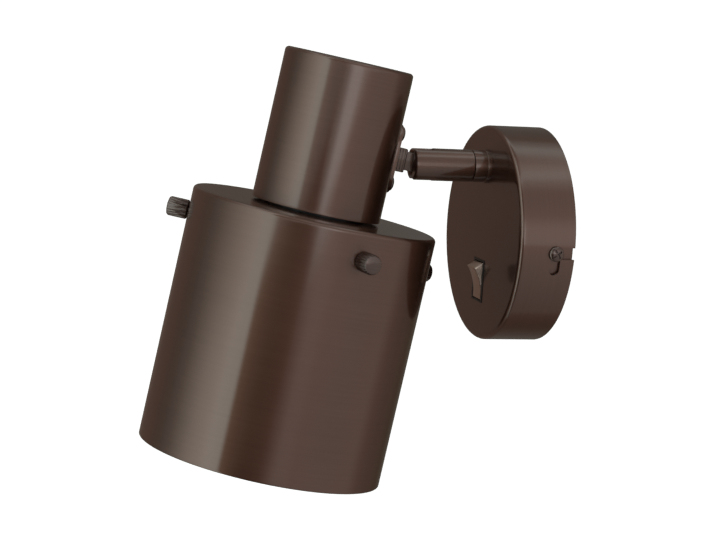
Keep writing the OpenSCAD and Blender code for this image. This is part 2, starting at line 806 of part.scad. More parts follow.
// Lid that closes the shade's top, with a skirt inside the shade for the thumbscrews
module shade_lid() color(bronze) {
    on_head() difference() {
        union() {
            translate([0, 0, lid_bottom]) rotate_extrude($fn = big_fn)
                rounded_corner(shade_r, lid_t, lid_edge);
            translate([0, 0, lid_bottom - skirt_depth]) ring(lid_skirt_r, bush_seat_r, skirt_depth);
        }
        translate([0, 0, lid_bottom - over])
            cylinder(r = bush_seat_r, h = lid_under - lid_bottom + over, $fn = big_fn);
        translate([0, 0, lid_bottom]) cylinder(r = holder_r + seat, h = lid_t + over, $fn = big_fn);
        for (i = [0:2]) at_thumb(i) cylinder(r = m4_r + fit, h = shade_r, $fn = small_fn);
    }
}

// Tapped bushes on the inside of the lid's skirt
module thumb_bushes() color(brass) {
    on_head() for (i = [0:2]) at_thumb(i) difference() {
        translate([0, 0, bush_seat_r - bush_t]) cylinder(r = bush_r, h = bush_t + bush_over, $fn = small_fn);
        translate([0, 0, bush_seat_r - bush_t - over])
            cylinder(r = m4_r + fit, h = shade_r, $fn = small_fn);
        rotate([0, -90, 0]) translate([0, 0, -bush_r - over])
            ring(shade_r, bush_seat_r - fit, 2 * bush_r + over + over);
    }
}

// Open tube that slips over the lid's skirt
module shade() color(bronze) {
    on_head() difference() {
        translate([0, 0, shade_top - shade_h]) ring(shade_r, shade_inner_r, shade_h - lid_t - seat);
        for (i = [0:2]) at_thumb(i) cylinder(r = m4_free_r, h = shade_d, $fn = small_fn);
    }
}

// Knurled head in cross section
module knurl_outline() {
    polygon([for (i = [0:2 * knurls - 1])
        (thumb_r - knurl_t * (i % 2)) * [cos(180 * i / knurls), sin(180 * i / knurls)]]);
}

module thumbscrew(i) color(dark_bronze) {
    on_head() at_thumb(i) {
        translate([0, 0, shade_r + play]) intersection() {
            linear_extrude(thumb_l) knurl_outline();
            rotate_extrude($fn = big_fn) intersection() {
                square([thumb_r, thumb_l]);
                translate([0, thumb_l - thumb_dome_r]) circle(thumb_dome_r, $fn = big_fn);
            }
        }
        translate([0, 0, bush_seat_r - bush_t])
            cylinder(r = m4_r, h = shade_r - bush_seat_r + bush_t + thumb_root, $fn = small_fn);
    }
}

module thumbscrew_front() thumbscrew(0);
module thumbscrew_side() thumbscrew(1);
module thumbscrew_rear() thumbscrew(2);

wall_bracket();
terminal_block();
terminal_screws();
earth_screw();
canopy();
canopy_screws();
switch_housing();
switch_tabs();
switch_rocker();
base_flange();
swivel_collar();
base_tube();
base_washer();
base_nut();
arm();
arm_grub_screw();
pivot_screw();
friction_washers();
tongue();
saddle_plate();
saddle_screws();
knuckle_nut();
cap();
holder_bracket();
holder_tube();
holder_nut();
holder_dome();
holder_skirt();
contact_base();
holder_shell();
centre_contact();
shade_ring();
shade_lid();
thumb_bushes();
shade();
thumbscrew_front();
thumbscrew_side();
thumbscrew_rear();
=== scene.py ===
"""Dresses a pivoting spotlight wall light: brushed bronze metalwork, black lampholder, screws, studio.

The shared frame is in metres: +Z is up, the wall is Y = 0 and the light stands out along -Y. The sizes
below are millimetres, in each sub-assembly's own frame.
"""

import json
import logging
import math
from dataclasses import dataclass
from enum import Enum
from typing import Any, Iterable, Sequence

import bpy
from mathutils import Matrix, Vector


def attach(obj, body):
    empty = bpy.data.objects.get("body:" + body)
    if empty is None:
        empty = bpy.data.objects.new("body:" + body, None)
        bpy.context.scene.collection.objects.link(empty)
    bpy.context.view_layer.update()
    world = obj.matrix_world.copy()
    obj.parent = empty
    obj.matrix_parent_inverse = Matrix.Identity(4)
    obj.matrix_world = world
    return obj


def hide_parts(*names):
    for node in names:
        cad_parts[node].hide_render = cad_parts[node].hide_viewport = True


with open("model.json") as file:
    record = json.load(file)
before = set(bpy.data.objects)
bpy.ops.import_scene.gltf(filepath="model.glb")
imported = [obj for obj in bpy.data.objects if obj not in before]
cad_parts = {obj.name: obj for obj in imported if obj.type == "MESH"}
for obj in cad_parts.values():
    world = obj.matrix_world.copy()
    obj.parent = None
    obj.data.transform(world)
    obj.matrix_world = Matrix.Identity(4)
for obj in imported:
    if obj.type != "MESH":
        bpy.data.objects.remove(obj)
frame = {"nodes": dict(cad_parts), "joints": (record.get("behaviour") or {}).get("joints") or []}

LOG = logging.getLogger("wall_light")
MM = 0.001
FULL_TURN = 360.0
HALF_TURN = 180.0

Ring = tuple[float, float]
Spot = tuple[float, float, float]
Colour = tuple[float, float, float]
Stop = tuple[float, float]


def shift(x: float = 0.0, y: float = 0.0, z: float = 0.0) -> Matrix:
    """Gives a move by millimetres."""
    return Matrix.Translation((x * MM, y * MM, z * MM))


def spin(degrees: float, axis: str) -> Matrix:
    """Gives a turn about the X, Y or Z axis."""
    return Matrix.Rotation(math.radians(degrees), 4, axis)


def joint_at(name: str) -> tuple[float, float]:
    """Gives a joint's distance from the wall and its height, in millimetres."""
    place = next(joint["pos_m"] for joint in frame["joints"] if joint["name"] == name)
    return -place[1] / MM, place[2] / MM


# Turns of local Z away from the wall, to the arm and to the right, and one that sets a side view upright
FROM_WALL = spin(90, "X")
TO_ARM = spin(-90, "X")
SIDEWAYS = spin(90, "Y")
FROM_SIDE = spin(90, "Z") @ spin(90, "X")


@dataclass(frozen=True)
class Layout:
    """The light's main axes, from the frame's joints, with the head's own reach and lean."""

    pivot_out: float = joint_at("head_tilt")[0]
    arm_up: float = joint_at("head_tilt")[1]
    axle_out: float = joint_at("rocker_press")[0]
    axle_up: float = joint_at("rocker_press")[1]
    head_reach: float = 44.5
    rest_tilt: float = 9.6

    def wall_place(self) -> Matrix:
        """Gives the canopy's axis: local Z runs away from the wall, local Y up."""
        return FROM_WALL

    def arm_place(self) -> Matrix:
        """Gives the arm's axis, which is laid as the canopy's is."""
        return shift(z=self.arm_up) @ FROM_WALL

    def pivot_place(self) -> Matrix:
        """Gives the tilted head at its pivot: local Z along the head, local Y to the arm."""
        return shift(y=-self.pivot_out, z=self.arm_up) @ spin(-self.rest_tilt, "X")

    def head_place(self) -> Matrix:
        """Gives the head's own axis."""
        return self.pivot_place() @ shift(y=-self.head_reach)


PLAN = Layout()


class Value:
    """A shader socket that Python's operators can do maths on."""

    def __init__(self, recipe: "Recipe", socket: Any) -> None:
        """Keeps the socket and the recipe it belongs to."""
        self.recipe = recipe
        self.socket = socket

    def _maths(self, operation: str, first: Any, second: Any = None) -> "Value":
        """Adds one Math node and gives its result."""
        inputs = {0: first} if second is None else {0: first, 1: second}
        return self.recipe.node("ShaderNodeMath", {"operation": operation}, inputs)

    def __add__(self, other: Any) -> "Value":
        """Gives self + other."""
        return self._maths("ADD", self, other)

    __radd__ = __add__

    def __sub__(self, other: Any) -> "Value":
        """Gives self - other."""
        return self._maths("SUBTRACT", self, other)

    def __rsub__(self, other: Any) -> "Value":
        """Gives other - self."""
        return self._maths("SUBTRACT", other, self)

    def __mul__(self, other: Any) -> "Value":
        """Gives self * other."""
        return self._maths("MULTIPLY", self, other)

    __rmul__ = __mul__

    def root(self) -> "Value":
        """Gives the square root."""
        return self._maths("SQRT", self)

    def angle_of(self, other: Any) -> "Value":
        """Gives the angle whose tangent is self / other."""
        return self._maths("ARCTAN2", self, other)

    def arcsine(self) -> "Value":
        """Gives the angle whose sine is self."""
        return self._maths("ARCSINE", self)


class Blend(Enum):
    """How two colours are joined."""

    MIX = "MIX"
    ADD = "ADD"
    MULTIPLY = "MULTIPLY"


class Recipe:
    """One node tree, made a node at a time."""

    def __init__(self, tree: bpy.types.NodeTree) -> None:
        """Starts on an empty tree."""
        self.tree = tree
        self.tree.nodes.clear()

    @staticmethod
    def _stops(ramp: bpy.types.ColorRamp, stops: Sequence[tuple[float, Sequence[float]]]) -> None:
        """Gives a colour ramp its stops.

        Args:
            ramp: The ramp.
            stops: Place and colour of each stop, in ascending order.
        """
        while len(ramp.elements) > 1:
            ramp.elements.remove(ramp.elements[-1])
        for index, (place, colour) in enumerate(stops):
            stop = ramp.elements[0] if index == 0 else ramp.elements.new(place)
            stop.position = place
            stop.color = (*colour[:3], 1.0)

    def node(self, kind: str, settings: dict[str, Any] | None = None,
             inputs: dict[Any, Any] | None = None, output: int | str = 0) -> Value:
        """Adds a node.

        Args:
            kind: The node's type.
            settings: What is set on the node before its sockets; "stops" goes to its colour ramp.
            inputs: Values or links of its sockets, by name or number.
            output: The socket that is given back.

        Returns:
            The output, ready for maths or another node.
        """
        made = self.tree.nodes.new(kind)
        for name, value in (settings or {}).items():
            if name == "stops":
                self._stops(made.color_ramp, value)
            else:
                setattr(made, name, value)
        for name, value in (inputs or {}).items():
            if isinstance(value, Value):
                self.tree.links.new(value.socket, made.inputs[name])
            else:
                made.inputs[name].default_value = value
        return Value(self, made.outputs[output])

    def finish(self, shader: Value, kind: str = "ShaderNodeOutputMaterial") -> None:
        """Leads the shader to the tree's output."""
        end = self.tree.nodes.new(kind)
        self.tree.links.new(shader.socket, end.inputs["Surface"])

    def split(self, vector: Value) -> tuple[Value, Value, Value]:
        """Gives the x, y and z of a vector."""
        outputs = self.node("ShaderNodeSeparateXYZ", inputs={0: vector}).socket.node.outputs
        return Value(self, outputs[0]), Value(self, outputs[1]), Value(self, outputs[2])

    def noise(self, vector: Value, scale: float, detail: float) -> Value:
        """Gives soft noise from 0 to 1."""
        return self.node("ShaderNodeTexNoise", {"noise_dimensions": "3D"},
                         {"Vector": vector, "Scale": scale, "Detail": detail})

    def ramp(self, factor: Value, *stops: tuple[float, Sequence[float]]) -> Value:
        """Turns a number into a colour."""
        return self.node("ShaderNodeValToRGB", {"stops": stops}, {"Fac": factor})

    def join(self, way: Blend, first: Any, second: Any, share: Any = 1.0) -> Value:
        """Joins two colours, the second by its share."""
        return self.node("ShaderNodeMix", {"data_type": "RGBA", "blend_type": way.value},
                         {0: share, 6: first, 7: second}, output=2)

    def bump(self, height: Value, strength: float, depth: float) -> Value:
        """Turns a height from 0 to 1 into a normal; the depth is in metres."""
        return self.node("ShaderNodeBump",
                         inputs={"Strength": strength, "Distance": depth, "Height": height})


class Axis(Enum):
    """The axis that a piece was turned or brushed about."""

    HEAD = "head"
    ARM = "arm"
    CANOPY = "canopy"

    def place(self) -> Matrix:
        """Gives the axis as a place in the shared frame."""
        return {Axis.HEAD: PLAN.head_place, Axis.ARM: PLAN.arm_place, Axis.CANOPY: PLAN.wall_place}[self]()


@dataclass(frozen=True)
class Finish:
    """What every finish has: a name, the record's slot for it, and a shader with constant settings."""

    name: str
    slot: str

    def constants(self) -> dict[str, Any]:
        """Gives the shader's constant sockets."""
        return {}

    def varied(self, recipe: Recipe, place: Value) -> dict[str, Value]:
        """Gives the shader's sockets that vary over the surface, none on a bare finish."""
        return {}

    def axis(self) -> Axis:
        """Gives the axis that the pattern is laid about."""
        return Axis.HEAD

    def material(self) -> bpy.types.Material:
        """Makes the material once.

        Returns:
            The material, also on later calls.
        """
        known = bpy.data.materials.get(self.name)
        if known is not None:
            return known
        made = bpy.data.materials.new(self.name)
        made.use_nodes = True
        recipe = Recipe(made.node_tree)
        back = self.axis().place().inverted()
        spot = recipe.node("ShaderNodeTexCoord", output="Object")
        place = recipe.node("ShaderNodeMapping", {"vector_type": "POINT"},
                            {"Vector": spot, "Location": back.to_translation(),
                             "Rotation": back.to_euler("XYZ")})
        sockets = {**self.constants(), **self.varied(recipe, place)}
        recipe.finish(recipe.node("ShaderNodeBsdfPrincipled", inputs=sockets))
        return made


@dataclass(frozen=True)
class BrushedBronze(Finish):
    """Dark bronze, brushed round its turning axis and lacquered.

    A grain is its noise scale across the grooves' run, its scale from groove to groove, and its detail.
    """

    dark: Colour = (0.118, 0.057, 0.038)
    light: Colour = (0.148, 0.072, 0.049)
    about: Axis = Axis.HEAD
    roughness: float = 0.46
    groove: float = 0.05
    groove_depth: float = 0.00005
    lacquer: float = 0.09
    fine_grain: tuple[float, float, float] = (22.0, 3600.0, 3.0)
    broad_grain: tuple[float, float, float] = (9.0, 620.0, 2.0)
    cloud_scale: float = 26.0

    def axis(self) -> Axis:
        """Gives the axis that the grooves run round."""
        return self.about

    def constants(self) -> dict[str, Any]:
        """Gives the shader's constant sockets."""
        return {"Metallic": 1.0, "Coat Weight": 1.0, "Coat IOR": 1.6, "Coat Roughness": self.lacquer}

    @staticmethod
    def grain(recipe: Recipe, spot: Sequence[Value], scales: tuple[float, float, float]) -> Value:
        """Lays grooves round the axis.

        Args:
            recipe: The material's node tree.
            spot: Two coordinates across the axis, and the run along the brushed face.
            scales: The grain.

        Returns:
            The grooves' height, from 0 to 1.
        """
        x, y, run = spot
        across, along, detail = scales
        line = recipe.node("ShaderNodeCombineXYZ", inputs={0: x * across, 1: y * across, 2: run * along})
        return recipe.noise(line, 1.0, detail)

    def varied(self, recipe: Recipe, place: Value) -> dict[str, Value]:
        """Lays fine grooves round the axis, with a faint cloudiness in the colour.

        Args:
            recipe: The material's node tree.
            place: Coordinates about the axis.

        Returns:
            The sockets that vary.
        """
        x, y, z = recipe.split(place)
        spot = (x, y, z + (x * x + y * y).root())
        fine = self.grain(recipe, spot, self.fine_grain)
        broad = self.grain(recipe, spot, self.broad_grain)
        cloud = recipe.noise(place, self.cloud_scale, 3.0)
        shade = 0.40 * fine + 0.25 * broad + 0.35 * cloud
        return {"Base Color": recipe.ramp(shade, (0.30, self.dark), (0.70, self.light)),
                "Roughness": self.roughness + (fine - 0.5) * 0.10 + (cloud - 0.5) * 0.06,
                "Normal": recipe.bump(0.7 * fine + 0.3 * broad, self.groove, self.groove_depth)}


@dataclass(frozen=True)
class PlatedSteel(Finish):
    """Zinc-plated sheet and turned parts."""

    tone: Colour = (0.42, 0.42, 0.41)
    roughness: float = 0.34
    worn: float = 0.72
    mottle_scale: float = 340.0
    wear_scale: float = 60.0

    def constants(self) -> dict[str, Any]:
        """Gives the shader's constant sockets."""
        return {"Metallic": 1.0}

    def varied(self, recipe: Recipe, place: Value) -> dict[str, Value]:
        """Lays the faint mottle of plating.

        Args:
            recipe: The material's node tree.
            place: Coordinates in the head's frame.

        Returns:
            The sockets that vary.
        """
        mottle = recipe.noise(place, self.mottle_scale, 3.0)
        wear = recipe.noise(place, self.wear_scale, 4.0)
        low = tuple(self.worn * part for part in self.tone)
        return {"Base Color": recipe.ramp(0.6 * mottle + 0.4 * wear, (0.30, low), (0.72, self.tone)),
                "Roughness": self.roughness + (wear - 0.5) * 0.16,
                "Normal": recipe.bump(mottle, 0.06, 0.00005)}


@dataclass(frozen=True)
class Moulded(Finish):
    """Black moulded plastic with a fine spark-eroded grain."""

    tone: Colour = (0.013, 0.012, 0.011)
    bloom: float = 1.9
    roughness: float = 0.42
    grain_scale: float = 2600.0
    cloud_scale: float = 90.0

    def varied(self, recipe: Recipe, place: Value) -> dict[str, Value]:
        """Lays the mould's grain.

        Args:
            recipe: The material's node tree.
            place: Coordinates in the head's frame.

        Returns:
            The sockets that vary.
        """
        grain = recipe.noise(place, self.grain_scale, 2.0)
        cloud = recipe.noise(place, self.cloud_scale, 2.0)
        high = tuple(self.bloom * part for part in self.tone)
        return {"Base Color": recipe.ramp(cloud, (0.3, self.tone), (0.8, high)),
                "Roughness": self.roughness + (cloud - 0.5) * 0.14,
                "Normal": recipe.bump(grain, 0.22, 0.00006)}


@dataclass(frozen=True)
class Glazed(Finish):
    """Off-white glazed porcelain."""

    tone: Colour = (0.74, 0.70, 0.62)
    thin: float = 0.88
    roughness: float = 0.26
    cloud_scale: float = 120.0
    speck_scale: float = 1500.0

    def constants(self) -> dict[str, Any]:
        """Gives the shader's constant sockets."""
        return {"Coat Weight": 0.5, "Coat Roughness": 0.08}

    def varied(self, recipe: Recipe, place: Value) -> dict[str, Value]:
        """Lays the glaze's faint unevenness and specks.

        Args:
            recipe: The material's node tree.
            place: Coordinates in the head's frame.

        Returns:
            The sockets that vary.
        """
        cloud = recipe.noise(place, self.cloud_scale, 3.0)
        speck = recipe.noise(place, self.speck_scale, 1.0)
        low = tuple(self.thin * part for part in self.tone)
        return {"Base Color": recipe.ramp(0.8 * cloud + 0.2 * speck, (0.3, low), (0.6, self.tone)),
                "Roughness": self.roughness + (cloud - 0.5) * 0.12,
                "Normal": recipe.bump(cloud, 0.05, 0.0001)}


class Stock(Enum):
    """The finishes that the light is made in."""

    HEAD_BRONZE = BrushedBronze("bronze_head", "bronze")
    ARM_BRONZE = BrushedBronze("bronze_arm", "bronze", about=Axis.ARM)
    FOOT_BRONZE = BrushedBronze("bronze_foot", "bronze", about=Axis.ARM)
    CANOPY_BRONZE = BrushedBronze("bronze_canopy", "bronze", about=Axis.CANOPY)
    # The rocker's bronze is painted about four times lighter than the other bronze: a painted highlight for
    # the light that its faces catch
    ROCKER_BRONZE = BrushedBronze("bronze_rocker_painted_highlight", "bronze", dark=(0.50, 0.38, 0.30),
                                  light=(0.62, 0.50, 0.42), about=Axis.CANOPY, roughness=0.40)
    TONGUE_BRONZE = BrushedBronze("bronze_tongue", "dark_bronze", dark=(0.080, 0.044, 0.030),
                                  light=(0.120, 0.068, 0.048), about=Axis.ARM, groove=0.1)
    SCREW_BRONZE = BrushedBronze("bronze_screw", "dark_bronze", dark=(0.072, 0.040, 0.031),
                                 light=(0.120, 0.070, 0.055), groove=0.1, roughness=0.38)
    STEEL = PlatedSteel("plated_sheet", "steel", tone=(0.46, 0.45, 0.43))
    ZINC = PlatedSteel("plated_turned", "zinc", tone=(0.40, 0.41, 0.42), roughness=0.30)
    BRASS = PlatedSteel("brass_pressed", "brass", tone=(0.60, 0.42, 0.17), roughness=0.26)
    BLACK = Moulded("black_moulded", "black")
    PORCELAIN = Glazed("porcelain_glazed", "porcelain")

    def material(self) -> bpy.types.Material:
        """Gives the finish's material."""
        return self.value.material()


# Finishes of the hidden solids that are carried over
NODE_STOCK: dict[str, Stock] = {
    "terminal_block": Stock.PORCELAIN, "terminal_screws": Stock.ZINC, "earth_screw": Stock.BRASS,
    "switch_tabs": Stock.BRASS, "base_tube": Stock.ZINC, "base_washer": Stock.ZINC, "base_nut": Stock.ZINC,
    "arm_grub_screw": Stock.ZINC, "pivot_screw": Stock.ZINC, "friction_washers": Stock.BLACK,
    "knuckle_nut": Stock.ZINC, "holder_bracket": Stock.STEEL, "holder_tube": Stock.ZINC,
    "holder_nut": Stock.ZINC, "holder_dome": Stock.BLACK, "contact_base": Stock.PORCELAIN,
    "centre_contact": Stock.BRASS,
}


def dress(piece: bpy.types.Object, stock: Stock) -> None:
    """Gives every material slot of a piece one finish.

    Args:
        piece: The piece.
        stock: Its finish.
    """
    made = stock.material()
    if not piece.material_slots:
        piece.data.materials.append(made)
    for slot in piece.material_slots:
        slot.material = made


def section(*corners: tuple[float, ...], steps: int = 6) -> list[Ring]:
    """Gives the rings of a turned section.

    Args:
        corners: Radius and height of each corner in millimetres, and a third number where it is round.
        steps: Facets of each round corner.

    Returns:
        Radius and height of each ring, in millimetres.
    """
    rings: list[Ring] = []
    for index, corner in enumerate(corners):
        here = Vector(corner[:2])
        if len(corner) < 3:
            rings.append((here.x, here.y))
            continue
        back = (Vector(corners[index - 1][:2]) - here).normalized()
        onward = (Vector(corners[(index + 1) % len(corners)][:2]) - here).normalized()
        half = back.angle(onward) / 2
        centre = here + (back + onward).normalized() * corner[2] / math.sin(half)
        first = here + back * corner[2] / math.tan(half) - centre
        last = here + onward * corner[2] / math.tan(half) - centre
        for step in range(steps + 1):
            spot = centre + first.lerp(last, step / steps).normalized() * corner[2]
            rings.append((spot.x, spot.y))
    return rings


def threaded(radius: float, low: float, high: float, pitch: float, depth: float) -> list[Ring]:
    """Gives the rings of a screw thread along a turned section.

    Args:
        radius: Radius over the crests, in millimetres.
        low: Height of the thread's start.
        high: Height of its end.
        pitch: Distance from crest to crest.
        depth: Depth of the roots below the crests.

    Returns:
        Radius and height of each ring, in millimetres.
    """
    turns = int((high - low) / pitch)
    crests = [(radius - depth * (step % 2), low + step * pitch / 2) for step in range(1, 2 * turns)]
    return [(radius - depth, low), *crests, (radius - depth, high)]


def arc(centre: Ring, radius: float, start: float, end: float, steps: int) -> list[Ring]:
    """Gives points on an arc, from one angle to another in degrees."""
    angles = [math.radians(start + (end - start) * step / steps) for step in range(steps + 1)]
    return [(centre[0] + radius * math.cos(a), centre[1] + radius * math.sin(a)) for a in angles]


class Way(Enum):
    """How a piece is worked with another."""

    CUT = "DIFFERENCE"
    WELD = "UNION"
    CROSS = "INTERSECT"


class Bench:
    """Blender's modelling tools as a modeller uses them by hand; lengths come in millimetres."""

    merge_span = 0.001
    smooth_below = math.radians(32)
    sharp_above = math.radians(40)
    bevel_facets = 3
    rod_sides = 48

    @staticmethod
    def clear() -> None:
        """Goes to object mode and deselects everything."""
        if bpy.context.mode != "OBJECT":
            bpy.ops.object.mode_set(mode="OBJECT")
        bpy.ops.object.select_all(action="DESELECT")

    @classmethod
    def take(cls, *pieces: bpy.types.Object) -> None:
        """Selects some pieces alone.

        Args:
            pieces: The pieces, of which the first becomes the active one.
        """
        cls.clear()
        for piece in pieces:
            piece.select_set(True)
        bpy.context.view_layer.objects.active = pieces[0]

    @classmethod
    def close(cls, name: str) -> bpy.types.Object:
        """Merges, fills and turns outwards the mesh in edit mode, and leaves edit mode.

        Args:
            name: The name that the piece gets.

        Returns:
            The piece, with its place in its mesh.
        """
        bpy.ops.mesh.select_all(action="SELECT")
        bpy.ops.mesh.remove_doubles(threshold=cls.merge_span * MM)
        bpy.ops.mesh.fill_holes(sides=0)
        bpy.ops.mesh.select_all(action="SELECT")
        bpy.ops.mesh.normals_make_consistent(inside=False)
        bpy.ops.object.mode_set(mode="OBJECT")
        piece = bpy.context.active_object
        piece.name = piece.data.name = name
        bpy.ops.object.transform_apply(location=True, rotation=True, scale=True)
        return piece

    @classmethod
    def turned(cls, name: str, rings: Sequence[Ring], sides: int = 96,
               tube: bool = False) -> bpy.types.Object:
        """Turns a section about local Z, a ring at a time.

        Args:
            name: The piece's name.
            rings: Radius and height of each ring, in order along the section.
            sides: Facets round the piece.
            tube: Whether the last ring meets the first; otherwise both ends are closed flat.

        Returns:
            The piece, in its own frame.
        """
        cls.clear()
        radius, height = rings[0]
        bpy.ops.mesh.primitive_circle_add(vertices=sides, radius=radius * MM, location=(0, 0, height * MM))
        bpy.ops.object.mode_set(mode="EDIT")
        bpy.ops.mesh.select_all(action="SELECT")
        for wider, higher in (*rings[1:], *(rings[:1] if tube else ())):
            rise = (0.0, 0.0, (higher - height) * MM)
            bpy.ops.mesh.extrude_edges_move(TRANSFORM_OT_translate={"value": rise})
            grow = wider / radius
            bpy.ops.transform.resize(value=(grow, grow, 1.0), center_override=(0.0, 0.0, higher * MM))
            radius, height = wider, higher
        return cls.close(name)

    @classmethod
    def prism(cls, name: str, points: Sequence[Ring], thickness: float) -> bpy.types.Object:
        """Draws a closed outline point by point in the XY plane and extrudes it along Z.

        Args:
            name: The piece's name.
            points: The outline's points.
            thickness: How far it is extruded.

        Returns:
            The piece.
        """
        cls.clear()
        bpy.ops.mesh.primitive_plane_add(size=MM, location=(points[0][0] * MM, points[0][1] * MM, 0.0))
        bpy.ops.object.mode_set(mode="EDIT")
        bpy.ops.mesh.select_all(action="SELECT")
        bpy.ops.mesh.merge(type="CENTER")
        for before, after in zip(points, (*points[1:], points[0])):
            step = ((after[0] - before[0]) * MM, (after[1] - before[1]) * MM, 0.0)
            bpy.ops.mesh.extrude_vertices_move(TRANSFORM_OT_translate={"value": step})
        bpy.ops.mesh.select_all(action="SELECT")
        bpy.ops.mesh.remove_doubles(threshold=cls.merge_span * MM)
        bpy.ops.mesh.edge_face_add()
        bpy.ops.mesh.extrude_region_move(TRANSFORM_OT_translate={"value": (0.0, 0.0, thickness * MM)})
        return cls.close(name)

    @classmethod
    def block(cls, name: str, low: Spot, high: Spot) -> bpy.types.Object:
        """Adds a block.

        Args:
            name: The piece's name.
            low: Its lowest corner.
            high: The corner opposite.

        Returns:
            The piece.
        """
        cls.clear()
        middle = [(a + b) / 2 * MM for a, b in zip(low, high)]
        span = [abs(b - a) * MM for a, b in zip(low, high)]
        bpy.ops.mesh.primitive_cube_add(size=1.0, location=middle, scale=span)
        bpy.ops.object.mode_set(mode="EDIT")
        return cls.close(name)

    @classmethod
    def rod(cls, name: str, radius: float, low: float, high: float,
            place: Matrix | None = None) -> bpy.types.Object:
        """Adds a straight rod along local Z, between two heights, and sets it in place."""
        piece = cls.turned(name, [(radius, low), (radius, high)], cls.rod_sides)
        return cls.set_down(piece, place or Matrix())

    @classmethod
    def set_down(cls, piece: bpy.types.Object, place: Matrix) -> bpy.types.Object:
        """Moves a piece to a place and keeps the place in its mesh.

        Args:
            piece: The piece.
            place: Its place.

        Returns:
            The piece.
        """
        cls.take(piece)
        piece.matrix_world = place
        bpy.ops.object.transform_apply(location=True, rotation=True, scale=True)
        return piece

    @classmethod
    def modify(cls, piece: bpy.types.Object, kind: str, **settings: Any) -> None:
        """Adds a modifier and applies it.

        Args:
            piece: The piece.
            kind: The modifier's type.
            settings: What is set on it.
        """
        cls.take(piece)
        bpy.ops.object.modifier_add(type=kind)
        change = piece.modifiers[-1]
        for name, value in settings.items():
            setattr(change, name, value)
        bpy.ops.object.modifier_apply(modifier=change.name)

    @classmethod
    def combine(cls, piece: bpy.types.Object, tools: Iterable[bpy.types.Object],
                way: Way = Way.CUT) -> bpy.types.Object:
        """Works a piece with others, which are used up.

        Args:
            piece: The piece that stays.
            tools: The pieces that cut it, are welded to it, or bound it.
            way: Which of these they do.

        Returns:
            The piece.
        """
        for tool in tools:
            cls.modify(piece, "BOOLEAN", operation=way.value, solver="EXACT", object=tool)
            spent = tool.data
            bpy.data.objects.remove(tool)
            bpy.data.meshes.remove(spent)
        return piece

    @classmethod
    def ease(cls, piece: bpy.types.Object, width: float) -> bpy.types.Object:
        """Rounds the sharp edges of a piece."""
        cls.modify(piece, "BEVEL", width=width * MM, segments=cls.bevel_facets,
                   limit_method="ANGLE", angle_limit=cls.sharp_above)
        return piece

    @classmethod
    def flute(cls, piece: bpy.types.Object, low: float, high: float, inner: float, depth: float) -> None:
        """Draws every second edge line of a turned piece inwards, as knurls or ribs.

        Args:
            piece: The turned piece, on local Z.
            low: Height where the flutes start.
            high: Height where they end.
            inner: Radius inside which nothing moves.
            depth: Depth of the flutes at the widest place.
        """
        cls.take(piece)
        bpy.ops.object.mode_set(mode="EDIT")
        bpy.ops.mesh.select_all(action="DESELECT")
        bpy.ops.object.mode_set(mode="OBJECT")
        points = piece.data.vertices
        first = points[0].co.z
        sides = sum(1 for point in points if abs(point.co.z - first) < cls.merge_span * MM)
        widest = max(point.co.xy.length for point in points)
        for point in points:
            turn = math.atan2(point.co.y, point.co.x) / math.tau * sides
            within = low * MM <= point.co.z <= high * MM and point.co.xy.length > inner * MM
            point.select = within and round(turn) % 2 == 1
        bpy.ops.object.mode_set(mode="EDIT")
        shrink = 1.0 - depth * MM / widest
        bpy.ops.transform.resize(value=(shrink, shrink, 1.0), center_override=(0.0, 0.0, 0.0))
        bpy.ops.object.mode_set(mode="OBJECT")

    @classmethod
    def smooth(cls, piece: bpy.types.Object) -> None:
        """Shades the round faces smooth and keeps the edges crisp."""
        cls.take(piece)
        bpy.ops.object.shade_smooth_by_angle(angle=cls.smooth_below)

    @classmethod
    def together(cls, name: str, pieces: Sequence[bpy.types.Object]) -> bpy.types.Object:
        """Joins pieces that share one node.

        Args:
            name: The name of the whole.
            pieces: The pieces.

        Returns:
            The joined piece.
        """
        cls.take(*pieces)
        bpy.ops.object.join()
        piece = bpy.context.active_object
        piece.name = piece.data.name = name
        return piece

    @classmethod
    def repeated(cls, piece: bpy.types.Object, count: int) -> list[bpy.types.Object]:
        """Copies a piece, each copy with its own mesh.

        Args:
            piece: The piece.
            count: How many there are to be, the first among them.

        Returns:
            The piece and its copies.
        """
        pieces = [piece]
        while len(pieces) < count:
            cls.take(piece)
            bpy.ops.object.duplicate(linked=False)
            pieces.append(bpy.context.active_object)
        return pieces


@dataclass
class PanScrew:
    """Cross-recessed pan-head screw along local Z, with its seat at zero."""

    shank_r: float = 2.0
    shank_l: float = 6.0
    head_r: float = 3.6
    head_t: float = 2.2
    head_lip: float = 0.2
    rim_share: float = 0.35
    dome: tuple[float, float] = (8.0, 74.0)
    recess_w: float = 1.0
    recess_t: float = 1.25
    recess_share: float = 0.60
    pitch: float = 0.7
    sides: int = 48

    def make(self, name: str) -> bpy.types.Object:
        """Turns the shank and head, and sinks the cross.

        Args:
            name: The screw's name.

        Returns:
            The screw.
        """
        rim = self.head_t * self.rim_share
        bow = arc((0, 0), 1.0, *self.dome, 8)
        dome = [(self.head_r * r, rim + (self.head_t - rim) * z) for r, z in bow]
        rings = [*threaded(self.shank_r, -self.shank_l, -self.pitch, self.pitch, self.pitch / 3),
                 (self.shank_r, 0), (self.head_r - self.head_lip, 0), (self.head_r, self.head_lip), *dome]
        screw = Bench.turned(name, rings, self.sides)
        reach, half = self.head_r * self.recess_share, self.recess_w / 2
        low, high = self.head_t - self.recess_t, self.head_t + 1
        bars = [Bench.block("bar", (-x, -y, low), (x, y, high)) for x, y in ((reach, half), (half, reach))]
        return Bench.combine(screw, bars)


